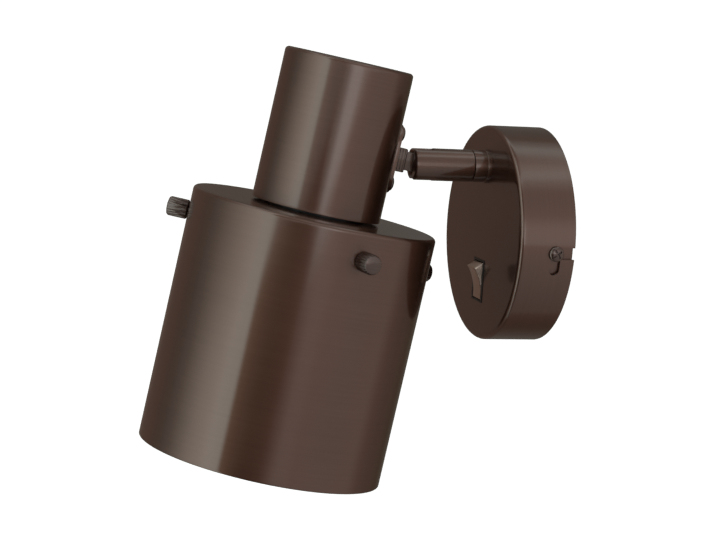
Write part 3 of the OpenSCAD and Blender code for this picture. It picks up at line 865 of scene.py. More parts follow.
@dataclass
class SubAssembly:
    """What every sub-assembly has: a body it rides on, a frame, and a way to hand its pieces over.

    A turned section has a ring at the hold distance from its round edges. It keeps the shading of the long
    face beside the edge flat.
    """

    body: str
    place: Matrix
    hold: float = 1.0

    def hand_over(self, piece: bpy.types.Object, stock: Stock, *nodes: str,
                  body: str | None = None) -> None:
        """Puts a finished piece on the light.

        Args:
            piece: The piece, in the sub-assembly's frame.
            stock: Its finish.
            nodes: The solids it stands for.
            body: The body it rides on, where that is not the sub-assembly's.
        """
        Bench.set_down(piece, self.place)
        Bench.smooth(piece)
        dress(piece, stock)
        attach(piece, body or self.body)
        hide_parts(*nodes)
        LOG.info("%s: %d faces in %s", piece.name, len(piece.data.polygons), stock.value.name)


@dataclass
class ShadeUnit(SubAssembly):
    """Drum shade, the lid that closes its top, and the three thumbscrews with their bushes."""

    radius: float = 56.5
    wall: float = 1.0
    bottom: float = -148.0
    top: float = -31.0
    lip_round: float = 0.35
    lip_band: float = 20.0
    lid_rim: float = 2.2
    lid_sheet: float = 1.2
    lid_edge: float = 1.8
    lid_hole_r: float = 20.09
    lid_hole_round: float = 0.3
    skirt_r: float = 55.2
    skirt_t: float = 1.5
    skirt_bottom: float = -58.7
    skirt_round: float = 0.4
    skirt_root: float = 0.8
    hole_r: float = 2.25
    thumb_r: float = 4.5
    thumb_l: float = 10.0
    thumb_gap: float = 0.3
    thumb_root: tuple[float, float] = (0.9, 0.6)
    thumb_crown: tuple[Ring, ...] = ((0.0, 1.3), (0.7, 0.45), (2.0, 0.12), (3.4, 0.0))
    thread_r: float = 2.0
    thread_pitch: float = 0.7
    thread_t: float = 0.22
    thread_stop: float = 1.5
    neck_from: float = 1.0
    neck_to: float = 0.1
    knurls: int = 24
    knurl_t: float = 0.4
    knurl_low: float = 0.5
    knurl_high: float = 1.2
    knurl_floor: float = 0.2
    bush_r: float = 4.5
    bush_t: float = 4.0
    bush_bore_r: float = 2.05
    bush_round: float = 0.6
    bush_lead: float = 0.2
    bush_proud: float = 0.2
    drill_over: float = 5.0
    bearings: tuple[float, ...] = (9.0, -111.0, 101.0)
    drops: tuple[float, ...] = (12.7, 12.7, 19.0)
    sides: int = 192

    def at_thumb(self, index: int) -> Matrix:
        """Gives a thumbscrew's frame, with local Z outwards from the head's axis."""
        return spin(self.bearings[index], "Z") @ shift(z=self.top - self.drops[index]) @ SIDEWAYS

    def drills(self) -> list[bpy.types.Object]:
        """Makes the three rods that drill the screws' holes."""
        low, high = self.radius / 2, self.radius + self.drill_over
        return [Bench.rod("drill", self.hole_r, low, high, self.at_thumb(index)) for index in range(3)]

    def shade(self) -> None:
        """Turns the drum, rolls its lower lip and drills it."""
        inner, rim = self.radius - self.wall, self.top - self.lid_rim
        band, held = self.bottom + self.lip_band, self.bottom + self.hold
        rings = section((self.radius, rim), (self.radius, band), (self.radius, held),
                        (self.radius, self.bottom, self.lip_round), (inner, self.bottom, self.lip_round),
                        (inner, held), (inner, band), (inner, rim), steps=3)
        drum = Bench.turned("drum_shade", rings, self.sides, tube=True)
        self.hand_over(Bench.combine(drum, self.drills()), Stock.HEAD_BRONZE, "shade")

    def lid(self) -> None:
        """Turns the lid with its rolled edge and its skirt."""
        under, rim = self.top - self.lid_sheet, self.top - self.lid_rim
        inner = self.skirt_r - self.skirt_t
        rings = section((self.lid_hole_r, self.top, self.lid_hole_round),
                        (self.lid_hole_r + self.hold, self.top),
                        (self.radius - self.lid_edge - self.hold, self.top),
                        (self.radius, self.top, self.lid_edge), (self.radius, rim), (self.skirt_r, rim),
                        (self.skirt_r, self.skirt_bottom, self.skirt_round),
                        (inner, self.skirt_bottom, self.skirt_round),
                        (inner, under, self.skirt_root), (self.lid_hole_r, under))
        lid = Bench.turned("shade_top_lid", rings, self.sides, tube=True)
        self.hand_over(Bench.combine(lid, self.drills()), Stock.HEAD_BRONZE, "shade_lid")

    def bushes(self) -> None:
        """Turns one tapped bush and seats a copy behind each hole."""
        seat = self.skirt_r - self.skirt_t + self.bush_proud
        foot = self.skirt_r - self.skirt_t - self.bush_t
        rings = section((self.bush_bore_r, foot, self.bush_lead), (self.bush_r, foot, self.bush_round),
                        (self.bush_r, seat), (self.bush_bore_r, seat), steps=3)
        bushes = Bench.repeated(Bench.turned("bush", rings, Bench.rod_sides, tube=True), 3)
        for index, bush in enumerate(bushes):
            Bench.set_down(bush, self.at_thumb(index))
        self.hand_over(Bench.together("tapped_bushes", bushes), Stock.BRASS, "thumb_bushes")

    def thumbscrews(self) -> None:
        """Turns one knurled thumbscrew and puts a copy in each bush."""
        root = self.radius + self.thumb_gap
        tip = root + self.thumb_l
        inside = self.skirt_r - self.skirt_t - self.bush_t
        chamfer_in, chamfer_up = self.thumb_root
        end = self.radius - self.thread_stop
        rings = [*threaded(self.thread_r, inside, end, self.thread_pitch, self.thread_t),
                 (self.thread_r, self.radius - self.neck_from), (self.thread_r, root - self.neck_to),
                 (self.thumb_r - chamfer_in, root), (self.thumb_r, root + chamfer_up),
                 *((self.thumb_r - inset, tip - drop) for inset, drop in self.thumb_crown)]
        first = Bench.turned("thumbscrew", rings, self.knurls * 2)
        Bench.flute(first, root + self.knurl_low, tip - self.knurl_high,
                    self.thumb_r - self.knurl_floor, self.knurl_t)
        for index, screw in enumerate(Bench.repeated(first, 3)):
            name = ("front", "side", "rear")[index]
            screw.name = screw.data.name = f"knurled_screw_{name}"
            Bench.set_down(screw, self.at_thumb(index))
            self.hand_over(screw, Stock.SCREW_BRONZE, f"thumbscrew_{name}", body=f"{name}_screw")

    def build(self) -> None:
        """Builds the whole shade."""
        self.shade()
        self.lid()
        self.bushes()
        self.thumbscrews()


@dataclass
class CapUnit(SubAssembly):
    """Lampholder cap, with the saddle plate and screws that hold it to the tongue."""

    radius: float = 29.75
    wall: float = 1.0
    top: float = 39.5
    bottom: float = -30.0
    edge: float = 1.8
    lip_round: float = 0.3
    inner_round: float = 0.8
    stud_r: float = 3.05
    screw_hole_r: float = 2.25
    screw_pitch: float = 23.0
    plate_gap: float = 0.05
    plate_t: float = 1.5
    plate_w: float = 19.0
    plate_h: float = 32.0
    plate_round: float = 0.35
    screw_l: float = 4.6
    recess_turn: float = 20.0
    sides: int = 192
    plate_sides: int = 256

    def drills(self) -> list[bpy.types.Object]:
        """Makes the rods that drill the stud's hole and the two screws' holes."""
        holes = ((0, self.stud_r), (-1, self.screw_hole_r), (1, self.screw_hole_r))
        return [Bench.rod("drill", radius, self.radius - 5, self.radius + 5,
                          shift(z=side * self.screw_pitch / 2) @ TO_ARM) for side, radius in holes]

    def cap(self) -> None:
        """Turns the cup with its round top edge."""
        inner, flat, under = self.radius - self.wall, self.radius - 2 * self.edge, self.top - self.wall
        rings = section((flat, self.top), (self.radius, self.top, self.edge),
                        (self.radius, self.top - self.edge - self.hold),
                        (self.radius, self.bottom + self.hold), (self.radius, self.bottom, self.lip_round),
                        (inner, self.bottom, self.lip_round), (inner, under, self.inner_round),
                        (flat, under))
        cup = Bench.turned("lampholder_cap", rings, self.sides)
        self.hand_over(Bench.combine(cup, self.drills()), Stock.HEAD_BRONZE, "cap")

    def plate(self) -> None:
        """Crosses a bent sheet with an upright strip that has round ends, and drills it."""
        inner, outer = self.radius + self.plate_gap, self.radius + self.plate_t
        half, reach = self.plate_w / 2, (self.plate_h - self.plate_w) / 2
        low, high = -self.plate_h, self.plate_h
        bent = [(inner, low), (outer, low), (outer, high), (inner, high)]
        sheet = Bench.turned("sheet", bent, self.plate_sides, tube=True)
        outline = [*arc((0, reach), half, 0, 180, 24), *arc((0, -reach), half, 180, 360, 24)]
        strip = Bench.set_down(Bench.prism("strip", outline, 2 * outer), TO_ARM)
        plate = Bench.combine(sheet, [strip], Way.CROSS)
        plate.name = plate.data.name = "curved_saddle"
        Bench.ease(Bench.combine(plate, self.drills()), self.plate_round)
        self.hand_over(plate, Stock.HEAD_BRONZE, "saddle_plate")

    def screws(self) -> None:
        """Puts a pan-head screw above and below the tongue."""
        pair = Bench.repeated(PanScrew(shank_l=self.screw_l).make("saddle_screw"), 2)
        for side, screw in zip((-1, 1), pair):
            seat = shift(0, self.radius + self.plate_t + self.plate_gap, side * self.screw_pitch / 2)
            Bench.set_down(screw, seat @ TO_ARM @ spin(self.recess_turn, "Z"))
        self.hand_over(Bench.together("saddle_pan_screws", pair), Stock.SCREW_BRONZE, "saddle_screws")

    def build(self) -> None:
        """Builds the cap and what is screwed to it."""
        self.cap()
        self.plate()
        self.screws()


@dataclass
class Lampholder(SubAssembly):
    """Moulded lampholder seen from below: skirt, clamping ring and threaded sleeve."""

    radius: float = 19.99
    wall: float = 2.4
    top: float = -5.0
    bottom: float = -45.0
    mouth_round: float = 0.8
    shoulder_r: float = 21.99
    shoulder_low: float = -31.0
    shoulder_high: float = -29.0
    shoulder_round: float = 0.4
    ring_gap: float = 0.05
    ring_top: float = -32.2
    ring_t: float = 8.0
    ring_r: float = 22.49
    ring_round: float = 0.6
    bore_round: float = 0.4
    lip_r: float = 26.49
    lip_t: float = 2.0
    lip_top_round: float = 0.3
    lip_low_round: float = 0.5
    ribs: int = 40
    rib_t: float = 0.9
    thread_r: float = 13.4
    thread_t: float = 0.5
    thread_pitch: float = 3.6
    thread_steps: int = 8
    shell_t: float = 0.2
    shell_low: float = -43.5
    shell_high: float = -21.5
    flange_t: float = 0.8

    def skirt(self) -> None:
        """Turns the lower half with the shoulder that the lid is clamped against."""
        inner = self.radius - self.wall
        rings = section((self.radius, self.top), (self.radius, self.shoulder_high),
                        (self.shoulder_r, self.shoulder_high, self.shoulder_round),
                        (self.shoulder_r, self.shoulder_low), (self.radius, self.shoulder_low),
                        (self.radius, self.bottom, self.mouth_round),
                        (inner, self.bottom, self.mouth_round), (inner, self.top), steps=4)
        skirt = Bench.turned("holder_lower_skirt", rings, tube=True)
        self.hand_over(skirt, Stock.BLACK, "holder_skirt")

    def ring(self) -> None:
        """Turns the ribbed ring that clamps the lid."""
        bore, low = self.radius + self.ring_gap, self.ring_top - self.ring_t
        lip_low = self.ring_top - self.lip_t
        rings = section((bore, self.ring_top), (self.lip_r, self.ring_top, self.lip_top_round),
                        (self.lip_r, lip_low, self.lip_low_round), (self.ring_r, lip_low),
                        (self.ring_r, low, self.ring_round), (bore, low, self.bore_round), steps=3)
        ring = Bench.turned("ribbed_clamp_ring", rings, self.ribs * 2, tube=True)
        Bench.flute(ring, low - 1, self.ring_top + 1, self.ring_r - 0.5, self.rib_t)
        self.hand_over(ring, Stock.BLACK, "shade_ring")

    def shell(self) -> None:
        """Presses the round thread of the bulb into a sheet sleeve with a flange."""
        step = self.thread_pitch / self.thread_steps
        count = int((self.shell_high - 1 - self.shell_low) / step)
        waves = [1 - math.cos(math.tau * index / self.thread_steps) for index in range(count + 1)]
        inside = [(self.thread_r + self.thread_t / 2 * wave, self.shell_low + index * step)
                  for index, wave in enumerate(waves)]
        outside = [(radius + self.shell_t, height) for radius, height in inside]
        flange_r, under = self.radius - self.wall - 0.1, self.shell_high - self.flange_t
        flange = [(outside[-1][0], under), (flange_r, under), (flange_r, self.shell_high),
                  (inside[-1][0], self.shell_high)]
        sleeve = Bench.turned("threaded_sleeve", [*outside, *flange, *reversed(inside)], 72, tube=True)
        self.hand_over(sleeve, Stock.BRASS, "holder_shell")

    def build(self) -> None:
        """Builds the parts that show from below."""
        self.skirt()
        self.ring()
        self.shell()


@dataclass
class Knuckle(SubAssembly):
    """Tongue between the arm's fork and the cap; its frame has the pivot at zero."""

    eye_r: float = 5.0
    thickness: float = 3.8
    neck_h: float = 8.5
    neck_round: float = 0.35
    reach: float = 14.75
    overlap: float = 2.0
    root_t: float = 4.4
    root_h: float = 11.0
    root_end: float = -8.05
    root_round: float = 0.5
    groove_w: float = 0.6
    groove_t: float = 0.4
    groove_pitch: float = 1.3
    first_groove: float = -11.95
    grooves_a_side: int = 3
    saddle_r: float = CapUnit.radius + CapUnit.plate_t + CapUnit.plate_gap
    saddle_half: float = 15.0
    saddle_sides: int = CapUnit.plate_sides
    head_reach: float = PLAN.head_reach
    pin_r: float = 2.05
    stud_r: float = 3.0
    stud_from: float = 12.25
    stud_to: float = 22.5
    stud_pitch: float = 1.0
    stud_thread_t: float = 0.3

    def grooves(self) -> list[bpy.types.Object]:
        """Makes the bars that cut the root's upright grooves.

        Returns:
            The bars, three to a side.
        """
        bars = []
        for side in (-1, 1):
            near, far = sorted((side * (self.root_t / 2 - self.groove_t), side * (self.root_t / 2 + 1)))
            for row in range(self.grooves_a_side):
                middle = self.first_groove + row * self.groove_pitch
                bars.append(Bench.block("bar", (near, middle - self.groove_w / 2, -self.root_h),
                                        (far, middle + self.groove_w / 2, self.root_h)))
        return bars

    def neck(self) -> bpy.types.Object:
        """Draws the eye and neck from the side and gives them their thickness.

        Returns:
            The neck, its edges eased.
        """
        half, back = self.neck_h / 2, -self.reach - self.overlap
        turn = math.degrees(math.asin(half / self.eye_r))
        outline = [(back, -half), *arc((0, 0), self.eye_r, turn - 180, 180 - turn, 36), (back, half)]
        neck = Bench.prism("forged_tongue", outline, self.thickness)
        Bench.set_down(neck, shift(-self.thickness / 2) @ FROM_SIDE)
        return Bench.ease(neck, self.neck_round)

    def root(self) -> bpy.types.Object:
        """Cuts the ridged root from a block.

        Returns:
            The root, its edges eased.
        """
        half_t, half_h = self.root_t / 2, self.root_h / 2
        root = Bench.block("root", (-half_t, -self.reach - self.overlap, -half_h),
                           (half_t, self.root_end, half_h))
        return Bench.combine(Bench.ease(root, self.root_round), self.grooves())

    def build(self) -> None:
        """Builds the eye and neck, the ridged root and the stud as one forging."""
        neck = self.neck()
        tongue = Bench.combine(neck, [self.root()], Way.WELD)
        pin = Bench.rod("pin", self.pin_r, -self.eye_r, self.eye_r, SIDEWAYS)
        round_face = [(self.saddle_r, -self.saddle_half), (self.saddle_r, self.saddle_half)]
        hollow = Bench.turned("hollow", round_face, self.saddle_sides)
        Bench.set_down(hollow, shift(y=-self.head_reach))
        Bench.combine(tongue, [pin, hollow])
        thread = threaded(self.stud_r, self.stud_from, self.stud_to, self.stud_pitch, self.stud_thread_t)
        stud = Bench.set_down(Bench.turned("stud", thread, Bench.rod_sides), FROM_WALL)
        self.hand_over(Bench.together("forged_tongue", [tongue, stud]), Stock.TONGUE_BRONZE, "tongue")


@dataclass
class ArmUnit(SubAssembly):
    """Swivelling arm, with its fork; heights are distances from the wall."""

    hold: float = 0.8
    radius: float = 7.5
    start: float = 34.8
    start_round: float = 0.2
    end: float = 63.5
    end_round: float = 0.9
    back_r: float = 5.2
    front_r: float = 3.0
    bore_r: float = 5.05
    bore_to: float = 43.8
    lead_r: float = 3.5
    slot_w: float = 5.0
    slot_from: float = 53.3
    slot_round: float = 0.3
    pivot: float = PLAN.pivot_out
    pivot_r: float = 2.05
    pivot_to: float = 5.9
    sink_r: float = 3.5
    sink_to: float = -4.9
    grub_at: float = 39.0
    grub_r: float = 1.55
    sides: int = 128

    def build(self) -> None:
        """Turns the bar, saws the fork and drills it."""
        rings = section((self.back_r, self.start), (self.radius, self.start, self.start_round),
                        (self.radius, self.start + self.hold),
                        (self.radius, self.end - self.end_round - self.hold),
                        (self.radius, self.end, self.end_round), (self.front_r, self.end), steps=5)
        bar = Bench.turned("fork_arm", rings, self.sides)
        beyond = 2 * self.radius
        saw = Bench.block("saw", (-self.slot_w / 2, -beyond, self.slot_from),
                          (self.slot_w / 2, beyond, self.end + 1))
        Bench.ease(Bench.combine(bar, [saw]), self.slot_round)
        at_pivot, at_grub = shift(z=self.pivot) @ SIDEWAYS, shift(z=self.grub_at) @ SIDEWAYS
        Bench.combine(bar, [Bench.rod("drill", self.bore_r, self.start - 1, self.bore_to),
                            Bench.rod("drill", self.lead_r, self.start - 1, self.slot_from + 1),
                            Bench.rod("drill", self.pivot_r, -beyond, self.pivot_to, at_pivot),
                            Bench.rod("drill", self.sink_r, -beyond, self.sink_to, at_pivot),
                            Bench.rod("drill", self.grub_r, -beyond, 0, at_grub)])
        self.hand_over(bar, Stock.ARM_BRONZE, "arm")


@dataclass
class WallUnit(SubAssembly):
    """Canopy, dish, side screws and the arm's fixed foot."""

    radius: float = 50.0
    depth: float = 26.5
    wall: float = 1.2
    edge: float = 2.0
    lip_round: float = 0.3
    inner_round: float = 0.8
    band: float = 12.0
    arm_up: float = PLAN.arm_up
    arm_hole_r: float = 5.05
    notch_w: float = 5.4
    leg_w: float = 4.8
    leg_reach: float = 7.65
    screw_out: float = 9.2
    screw_drop: float = 2.0
    screw_r: float = 2.05
    screw_gap: float = 0.06
    recess_turn: float = 35.0
    dish_r: float = 48.5
    dish_t: float = 1.5
    dish_depth: float = 14.0
    dish_edge: float = 1.8
    dish_root: float = 0.6
    punch: tuple[float, float] = (-2.0, 4.0)
    slot_at: float = 27.0
    slot_l: float = 12.0
    slot_w: float = 4.6
    cable_up: float = 13.5
    cable_r: float = 5.5
    earth: tuple[float, float] = (-24.1, -21.7)
    switch_up: float = PLAN.axle_up
    cut_w: float = 12.8
    cut_h: float = 19.2
    foot_r: float = 7.5
    foot_lip: float = 0.4
    foot_bore_r: float = 5.05
    flange_t: float = 2.0
    flange_round: float = 0.3
    collar_l: float = 6.0
    collar_round: float = 0.2
    sides: int = 192

    def bayonet(self, turn: float) -> list[bpy.types.Object]:
        """Makes the cutters of one side slot, from its notch to its round end.

        Args:
            turn: The slot's place round the canopy, in degrees.

        Returns:
            The cutters of notch, leg and round end.
        """
        inner, outer = self.radius - 4, self.radius + 4
        low, high = self.screw_out - self.leg_w / 2, self.screw_out + self.leg_w / 2
        notch = Bench.block("notch", (inner, -self.notch_w / 2, -1), (outer, self.notch_w / 2, high))
        leg = Bench.block("leg", (inner, -self.leg_reach, low), (outer, 0, high))
        end = shift(0, -self.leg_reach, self.screw_out) @ SIDEWAYS
        tip = Bench.rod("tip", self.leg_w / 2, inner, outer, end)
        return [Bench.set_down(tool, spin(turn, "Z")) for tool in (notch, leg, tip)]

    def canopy(self) -> None:
        """Spins the cup and cuts its slots, the arm's hole and the switch's opening."""
        inner, flat, under = self.radius - self.wall, self.radius - 2 * self.edge, self.depth - self.wall
        rings = section((flat, self.depth), (self.radius, self.depth, self.edge),
                        (self.radius, self.depth - self.edge - self.hold), (self.radius, self.band),
                        (self.radius, self.hold), (self.radius, 0, self.lip_round),
                        (inner, 0, self.lip_round), (inner, self.band),
                        (inner, under, self.inner_round), (flat, under))
        cup = Bench.turned("spun_canopy", rings, self.sides)
        lean = -math.degrees(math.asin(self.screw_drop / self.radius))
        low, high = self.depth - 3, self.depth + 1
        opening = Bench.block("opening", (-self.cut_w / 2, self.switch_up - self.cut_h / 2, low),
                              (self.cut_w / 2, self.switch_up + self.cut_h / 2, high))
        hole = Bench.rod("hole", self.arm_hole_r, low, high, shift(y=self.arm_up))
        Bench.combine(cup, [*self.bayonet(lean), *self.bayonet(HALF_TURN - lean), opening, hole])
        self.hand_over(cup, Stock.CANOPY_BRONZE, "canopy")

    def dish(self) -> None:
        """Spins the wall dish and punches its slots and holes."""
        flat, inner = self.dish_r - 4, self.dish_r - self.dish_t
        rings = section((flat, 0), (self.dish_r, 0, self.dish_edge),
                        (self.dish_r, self.dish_depth, self.lip_round),
                        (inner, self.dish_depth, self.lip_round), (inner, self.dish_t, self.dish_root),
                        (flat, self.dish_t))
        dish = Bench.turned("wall_dish", rings, self.sides)
        half, reach = self.slot_w / 2, (self.slot_l - self.slot_w) / 2
        outline = [*arc((reach, 0), half, -90, 90, 16), *arc((-reach, 0), half, 90, 270, 16)]
        low, high = self.punch
        tools = [Bench.set_down(Bench.prism("slot", outline, high - low), shift(side * self.slot_at, 0, low))
                 for side in (-1, 1)]
        tools.append(Bench.rod("cable", self.cable_r, low, high, shift(y=self.cable_up)))
        tools.append(Bench.rod("earth", self.screw_r, low, high, shift(*self.earth)))
        across = shift(0, -self.screw_drop, self.screw_out) @ SIDEWAYS
        tools.append(Bench.rod("side", self.screw_r, -self.radius, self.radius, across))
        self.hand_over(Bench.combine(dish, tools), Stock.CANOPY_BRONZE, "wall_bracket")

    def side_screws(self) -> None:
        """Puts a pan-head screw in each side slot."""
        first = PanScrew(head_r=3.5, recess_w=1.1, recess_share=0.66).make("side_screw")
        pair = Bench.repeated(first, 2)
        for side, screw in zip((1, -1), pair):
            seat = shift(side * (self.radius + self.screw_gap), -self.screw_drop, self.screw_out)
            Bench.set_down(screw, seat @ spin(side * 90, "Y") @ spin(self.recess_turn, "Z"))
        self.hand_over(Bench.together("canopy_side_screws", pair), Stock.SCREW_BRONZE, "canopy_screws")

    def collar(self, name: str, node: str, low: float, length: float, radius: float, edge: float) -> None:
        """Turns a ring round the arm's tube.

        Args:
            name: The ring's name.
            node: The solid it stands for.
            low: Distance of its back from the wall.
            length: Its length.
            radius: Its outer radius.
            edge: Radius of its front edge.
        """
        rings = section((self.foot_bore_r, low), (radius, low), (radius, low + length, edge),
                        (self.foot_bore_r, low + length), steps=3)
        ring = Bench.set_down(Bench.turned(name, rings, tube=True), shift(y=self.arm_up))
        self.hand_over(ring, Stock.FOOT_BRONZE, node)

    def build(self) -> None:
        """Builds the wall unit, with the thin flange and the fixed collar at the arm's foot."""
        self.canopy()
        self.dish()
        self.side_screws()
        front, wide = self.depth + self.flange_t, self.foot_r + self.foot_lip
        self.collar("foot_flange", "base_flange", self.depth, self.flange_t, wide, self.flange_round)
        self.collar("foot_collar", "swivel_collar", front, self.collar_l, self.foot_r, self.collar_round)


@dataclass
class Switch(SubAssembly):
    """Rocker switch below the arm."""

    up: float = PLAN.axle_up
    axle_out: float = PLAN.axle_out
    axle_r: float = 1.2
    face: float = WallUnit.depth
    depth: float = 15.0
    half_w: float = 6.3
    half_h: float = 9.5
    lip: float = 0.5
    lip_t: float = 0.25
    lip_round: float = 0.12
    cavity_w: float = 5.3
    cavity_h: float = 9.05
    floor: float = 2.0
    length: float = 18.0
    width: float = 10.0
    proud: float = 5.0
    hollow: float = 1.4
    tail: float = 5.0
    tail_share: float = 0.25
    rocker_round: float = 0.45
    lean: float = 15.0

    def housing(self) -> None:
        """Builds the frame and the box behind it, open at the front."""
        low = self.face - self.depth
        box = Bench.block("switch_frame", (-self.half_w, -self.half_h, low),
                          (self.half_w, self.half_h, self.face + 0.1))
        frame_w, frame_h = self.half_w + self.lip, self.half_h + self.lip
        rim = Bench.block("rim", (-frame_w, -frame_h, self.face),
                          (frame_w, frame_h, self.face + self.lip_t))
        Bench.combine(box, [Bench.ease(rim, self.lip_round)], Way.WELD)
        cavity = Bench.block("cavity", (-self.cavity_w, -self.cavity_h, low + self.floor),
                             (self.cavity_w, self.cavity_h, self.face + 2))
        Bench.set_down(Bench.combine(box, [cavity]), shift(y=self.up))
        self.hand_over(box, Stock.BLACK, "switch_housing")

    def rocker(self) -> None:
        """Cuts the rocker from its side view, with a hollow front, and adds its axle."""
        half, tail = self.length / 2, self.length / 2 * self.tail_share
        top = half - self.proud * math.tan(math.radians(self.lean))
        bow = (top ** 2 + self.hollow ** 2) / (2 * self.hollow)
        turn = math.degrees(math.asin(top / bow))
        front = arc((0, self.proud - self.hollow + bow), bow, -90 - turn, -90 + turn, 16)
        outline = [*front, (half, 0), (tail, -self.tail), (-tail, -self.tail), (-half, 0)]
        rocker = Bench.prism("switch_rocker_cap", outline, self.width)
        Bench.set_down(rocker, shift(-self.width / 2) @ FROM_SIDE)
        Bench.ease(rocker, self.rocker_round)
        axle = Bench.rod("axle", self.axle_r, -self.half_w, self.half_w, SIDEWAYS)
        Bench.combine(rocker, [axle], Way.WELD)
        Bench.set_down(rocker, shift(0, self.up, self.axle_out) @ spin(self.lean, "X"))
        # The rocker gets the lighter bronze, a painted highlight rather than a finish of its own
        self.hand_over(rocker, Stock.ROCKER_BRONZE, "switch_rocker", body="rocker")

    def build(self) -> None:
        """Builds the switch."""
        self.housing()
        self.rocker()


@dataclass
class Studio:
    """Camera, floor and the room's soft panels; lengths are metres and angles degrees."""

    azimuth: float = 72.25
    elevation: float = 8.74
    roll: float = -3.84
    distance: float = 1.0284
    focal_px: float = 2182.23
    image_px: float = 716.0
    offset: tuple[float, float] = (0.08308, 0.01721)
    sensor: float = 36.0
    clip: tuple[float, float] = (0.01, 200.0)
    brightest: float = 2.6
    deepest: float = 10.0
    aloft: Colour = (0.93, 1.0, 0.98)
    underfoot: Colour = (1.0, 0.70, 0.56)
    floor_size: float = 400.0
    floor_cells: int = 12
    floor_at: float = -2.2
    floor_glow: float = 0.62

    def camera(self) -> None:
        """Places the camera at the photograph's angle."""
        azimuth, elevation, roll = (math.radians(a) for a in (self.azimuth, self.elevation, self.roll))
        flat = math.cos(elevation)
        back = Vector((math.sin(azimuth) * flat, -math.cos(azimuth) * flat, math.sin(elevation)))
        level = Vector((math.cos(azimuth), math.sin(azimuth), 0))
        upright = back.cross(level)
        right = math.cos(roll) * level - math.sin(roll) * upright
        up = math.sin(roll) * level + math.cos(roll) * upright
        place = back * self.distance - right * self.offset[0] - up * self.offset[1]
        lens = bpy.data.cameras.new("camera")
        lens.sensor_width = self.sensor
        lens.lens = self.focal_px / self.image_px * self.sensor
        lens.clip_start, lens.clip_end = self.clip
        holder = bpy.data.objects.new("camera", lens)
        holder.matrix_world = Matrix([*zip(right, up, back, place), (0, 0, 0, 1)])
        bpy.context.scene.collection.objects.link(holder)
        bpy.context.scene.camera = holder

    def surroundings(self) -> None:
        """Makes a pale room whose reflections are a few wide soft panels."""
        world = bpy.data.worlds.new("room")
        bpy.context.scene.world = world
        world.use_nodes = True
        recipe = Recipe(world.node_tree)
        x, y, z = recipe.split(recipe.node("ShaderNodeTexCoord", output="Generated"))
        turn = x.angle_of(0.0 - y) * (0.5 / math.pi) + 0.5
        rise = z.arcsine() * (1.0 / math.pi) + 0.5
        low = self.greys(recipe, turn, self.low_panels(), FULL_TURN, self.brightest)
        high = self.greys(recipe, turn, self.high_panels(), FULL_TURN, self.brightest)
        drop = self.greys(recipe, turn, self.sill(), FULL_TURN, self.deepest) * (self.deepest / HALF_TURN)
        share = self.greys(recipe, rise + drop, self.border(), HALF_TURN)
        level = recipe.join(Blend.MIX, low, high, share)
        tint = recipe.ramp(turn, *[(0.5 + a / FULL_TURN, colour) for a, colour in self.tints()])
        fade = self.greys(recipe, rise, self.heights(), HALF_TURN)
        above = recipe.ramp(rise, *[(0.5 + a / HALF_TURN, self.tinged(a, v)) for a, v in self.overhead()])
        around = recipe.join(Blend.MULTIPLY, recipe.join(Blend.MULTIPLY, level, tint), fade)
        room = recipe.join(Blend.ADD, around, above)
        glow = recipe.node("ShaderNodeBackground", inputs={"Color": room, "Strength": self.brightest})
        plain = recipe.node("ShaderNodeBackground", inputs={"Color": (1.0, 1.0, 1.0, 1.0), "Strength": 1.0})
        direct = recipe.node("ShaderNodeLightPath", output="Is Camera Ray")
        both = recipe.node("ShaderNodeMixShader", inputs={0: direct, 1: glow, 2: plain})
        recipe.finish(both, "ShaderNodeOutputWorld")

    def tinged(self, height: float, level: float) -> Colour:
        """Gives the colour of a panel overhead, or of the warmer glow from under the light."""
        red, green, blue = self.underfoot if height < 0 else self.aloft
        return level / self.brightest * red, level / self.brightest * green, level / self.brightest * blue

    @staticmethod
    def greys(recipe: Recipe, place: Value, stops: Sequence[Stop], span: float,
              most: float = 1.0) -> Value:
        """Turns angles and brightnesses into a grey ramp.

        Args:
            recipe: The world's node tree.
            place: The angle, as a share of the span with its middle at zero degrees.
            stops: Angles in degrees with their brightness, in ascending order.
            span: The whole range of the angle, in degrees.
            most: What the brightnesses are divided by.

        Returns:
            The ramp's colour.
        """
        return recipe.ramp(place, *[(0.5 + a / span, (v / most,) * 3) for a, v in stops])

    @staticmethod
    def left_panels() -> list[Stop]:
        """Gives the panels from the wall round the left to the front, which are alike at both heights."""
        return [(-180, 0.28), (-165, 0.20), (-140, 0.09), (-125, 0.10), (-112, 0.108), (-105, 0.089),
                (-95, 0.14), (-72, 0.145), (-55, 0.20), (-34, 0.215), (-20, 0.38)]

    def low_panels(self) -> list[Stop]:
        """Gives the panels under the sill, by their bearing from the front and their brightness."""
        return [*self.left_panels(), (-7, 0.85), (4, 1.32), (15, 1.65), (24, 2.1), (35.5, 2.1),
                (38.5, 0.05), (45, 0.01), (74, 0.01), (80, 0.20), (88, 0.52), (97, 0.52), (104, 0.44),
                (112, 0.47), (150, 0.52), (166, 0.55), (180, 0.28)]

    def high_panels(self) -> list[Stop]:
        """Gives the panels over the sill, by their bearing from the front and their brightness."""
        return [*self.left_panels(), (-7, 0.70), (4, 1.02), (15, 1.38), (24, 1.80), (31, 2.1), (38, 2.1),
                (43, 0.62), (50, 0.50), (68, 0.50), (76, 0.85), (84, 1.9), (96, 1.9), (103, 1.2),
                (112, 0.84), (130, 0.72), (150, 0.66), (166, 0.58), (180, 0.28)]

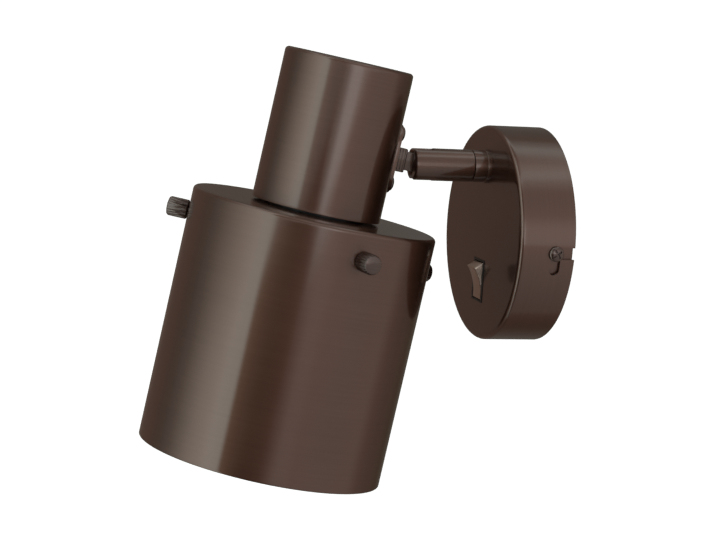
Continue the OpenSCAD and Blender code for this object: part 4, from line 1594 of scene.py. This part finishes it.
    @staticmethod
    def tints() -> list[tuple[float, Colour]]:
        """Gives the tint of the panels by their bearing from the front."""
        cool, warm, plain, rear = (0.80, 0.92, 0.88), (1.0, 0.68, 0.54), (1.0, 1.0, 1.0), (1.0, 0.80, 0.72)
        return [(-180, rear), (-165, (1.0, 0.73, 0.65)), (-140, (1.0, 0.74, 0.50)),
                (-111, (1.0, 0.91, 0.81)), (-105, (1.0, 0.78, 0.64)), (-98, (1.0, 0.78, 0.66)),
                (-78, warm), (-52, warm), (-28, cool), (41, cool), (46, plain), (135, plain),
                (165, (1.0, 0.88, 0.78)), (180, rear)]

    @staticmethod
    def border() -> list[Stop]:
        """Gives the share of the high panels by the height over the sill."""
        return [(-90, 0.0), (0.6, 0.0), (2.6, 1.0), (18, 1.0), (30, 0.1), (90, 0.0)]

    @staticmethod
    def sill() -> list[Stop]:
        """Gives how far the sill lies below the horizon, in degrees, by the bearing."""
        return [(-180, 5.8), (-100, 0.0), (66, 0.0), (80, 5.8), (180, 5.8)]

    @staticmethod
    def heights() -> list[Stop]:
        """Gives how the panels fade with the height over the horizon."""
        return [(-90, 0.3), (-60, 0.6), (-25, 1.0), (20, 1.0), (50, 0.7), (90, 0.5)]

    @staticmethod
    def overhead() -> list[Stop]:
        """Gives the panel overhead and the glow from underfoot, by the height over the horizon."""
        return [(-90, 0.08), (-60, 0.08), (-40, 0.06), (-22, 0.0), (10, 0.0), (48, 0.08), (56, 0.45),
                (61, 0.90), (64, 0.90), (68, 0.50), (72, 0.16), (90, 0.14)]

    def floor(self) -> None:
        """Lays a wide pale floor well below the light, which no polished face mirrors."""
        bpy.ops.mesh.primitive_grid_add(x_subdivisions=self.floor_cells, y_subdivisions=self.floor_cells,
                                        size=self.floor_size, location=(0.0, 0.0, self.floor_at))
        ground = bpy.context.active_object
        ground.name = "floor"
        made = bpy.data.materials.new("pale_floor")
        made.use_nodes = True
        recipe = Recipe(made.node_tree)
        recipe.finish(recipe.node("ShaderNodeBsdfPrincipled", inputs={
            "Base Color": (0.9, 0.9, 0.9, 1.0), "Roughness": 0.8,
            "Emission Color": (1.0, 1.0, 1.0, 1.0), "Emission Strength": self.floor_glow}))
        ground.data.materials.append(made)
        ground.visible_glossy = False

    def build(self) -> None:
        """Sets the whole studio up."""
        bpy.context.scene.view_settings.view_transform = "Standard"
        self.camera()
        self.surroundings()
        self.floor()


def main() -> None:
    """Builds the light's sub-assemblies in order and sets the studio round them."""
    logging.basicConfig(level=logging.INFO, format="%(name)s: %(message)s")
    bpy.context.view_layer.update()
    Studio().build()
    ShadeUnit("head", PLAN.head_place()).build()
    CapUnit("head", PLAN.head_place()).build()
    Lampholder("head", PLAN.head_place()).build()
    Knuckle("head", PLAN.pivot_place()).build()
    ArmUnit("arm", PLAN.arm_place()).build()
    WallUnit("wall_unit", PLAN.wall_place()).build()
    Switch("wall_unit", PLAN.wall_place()).build()
    for name, stock in NODE_STOCK.items():
        dress(frame["nodes"][name], stock)
        LOG.info("%s: carried over, %s", name, stock.value.name)


if __name__ == "__main__":
    main()
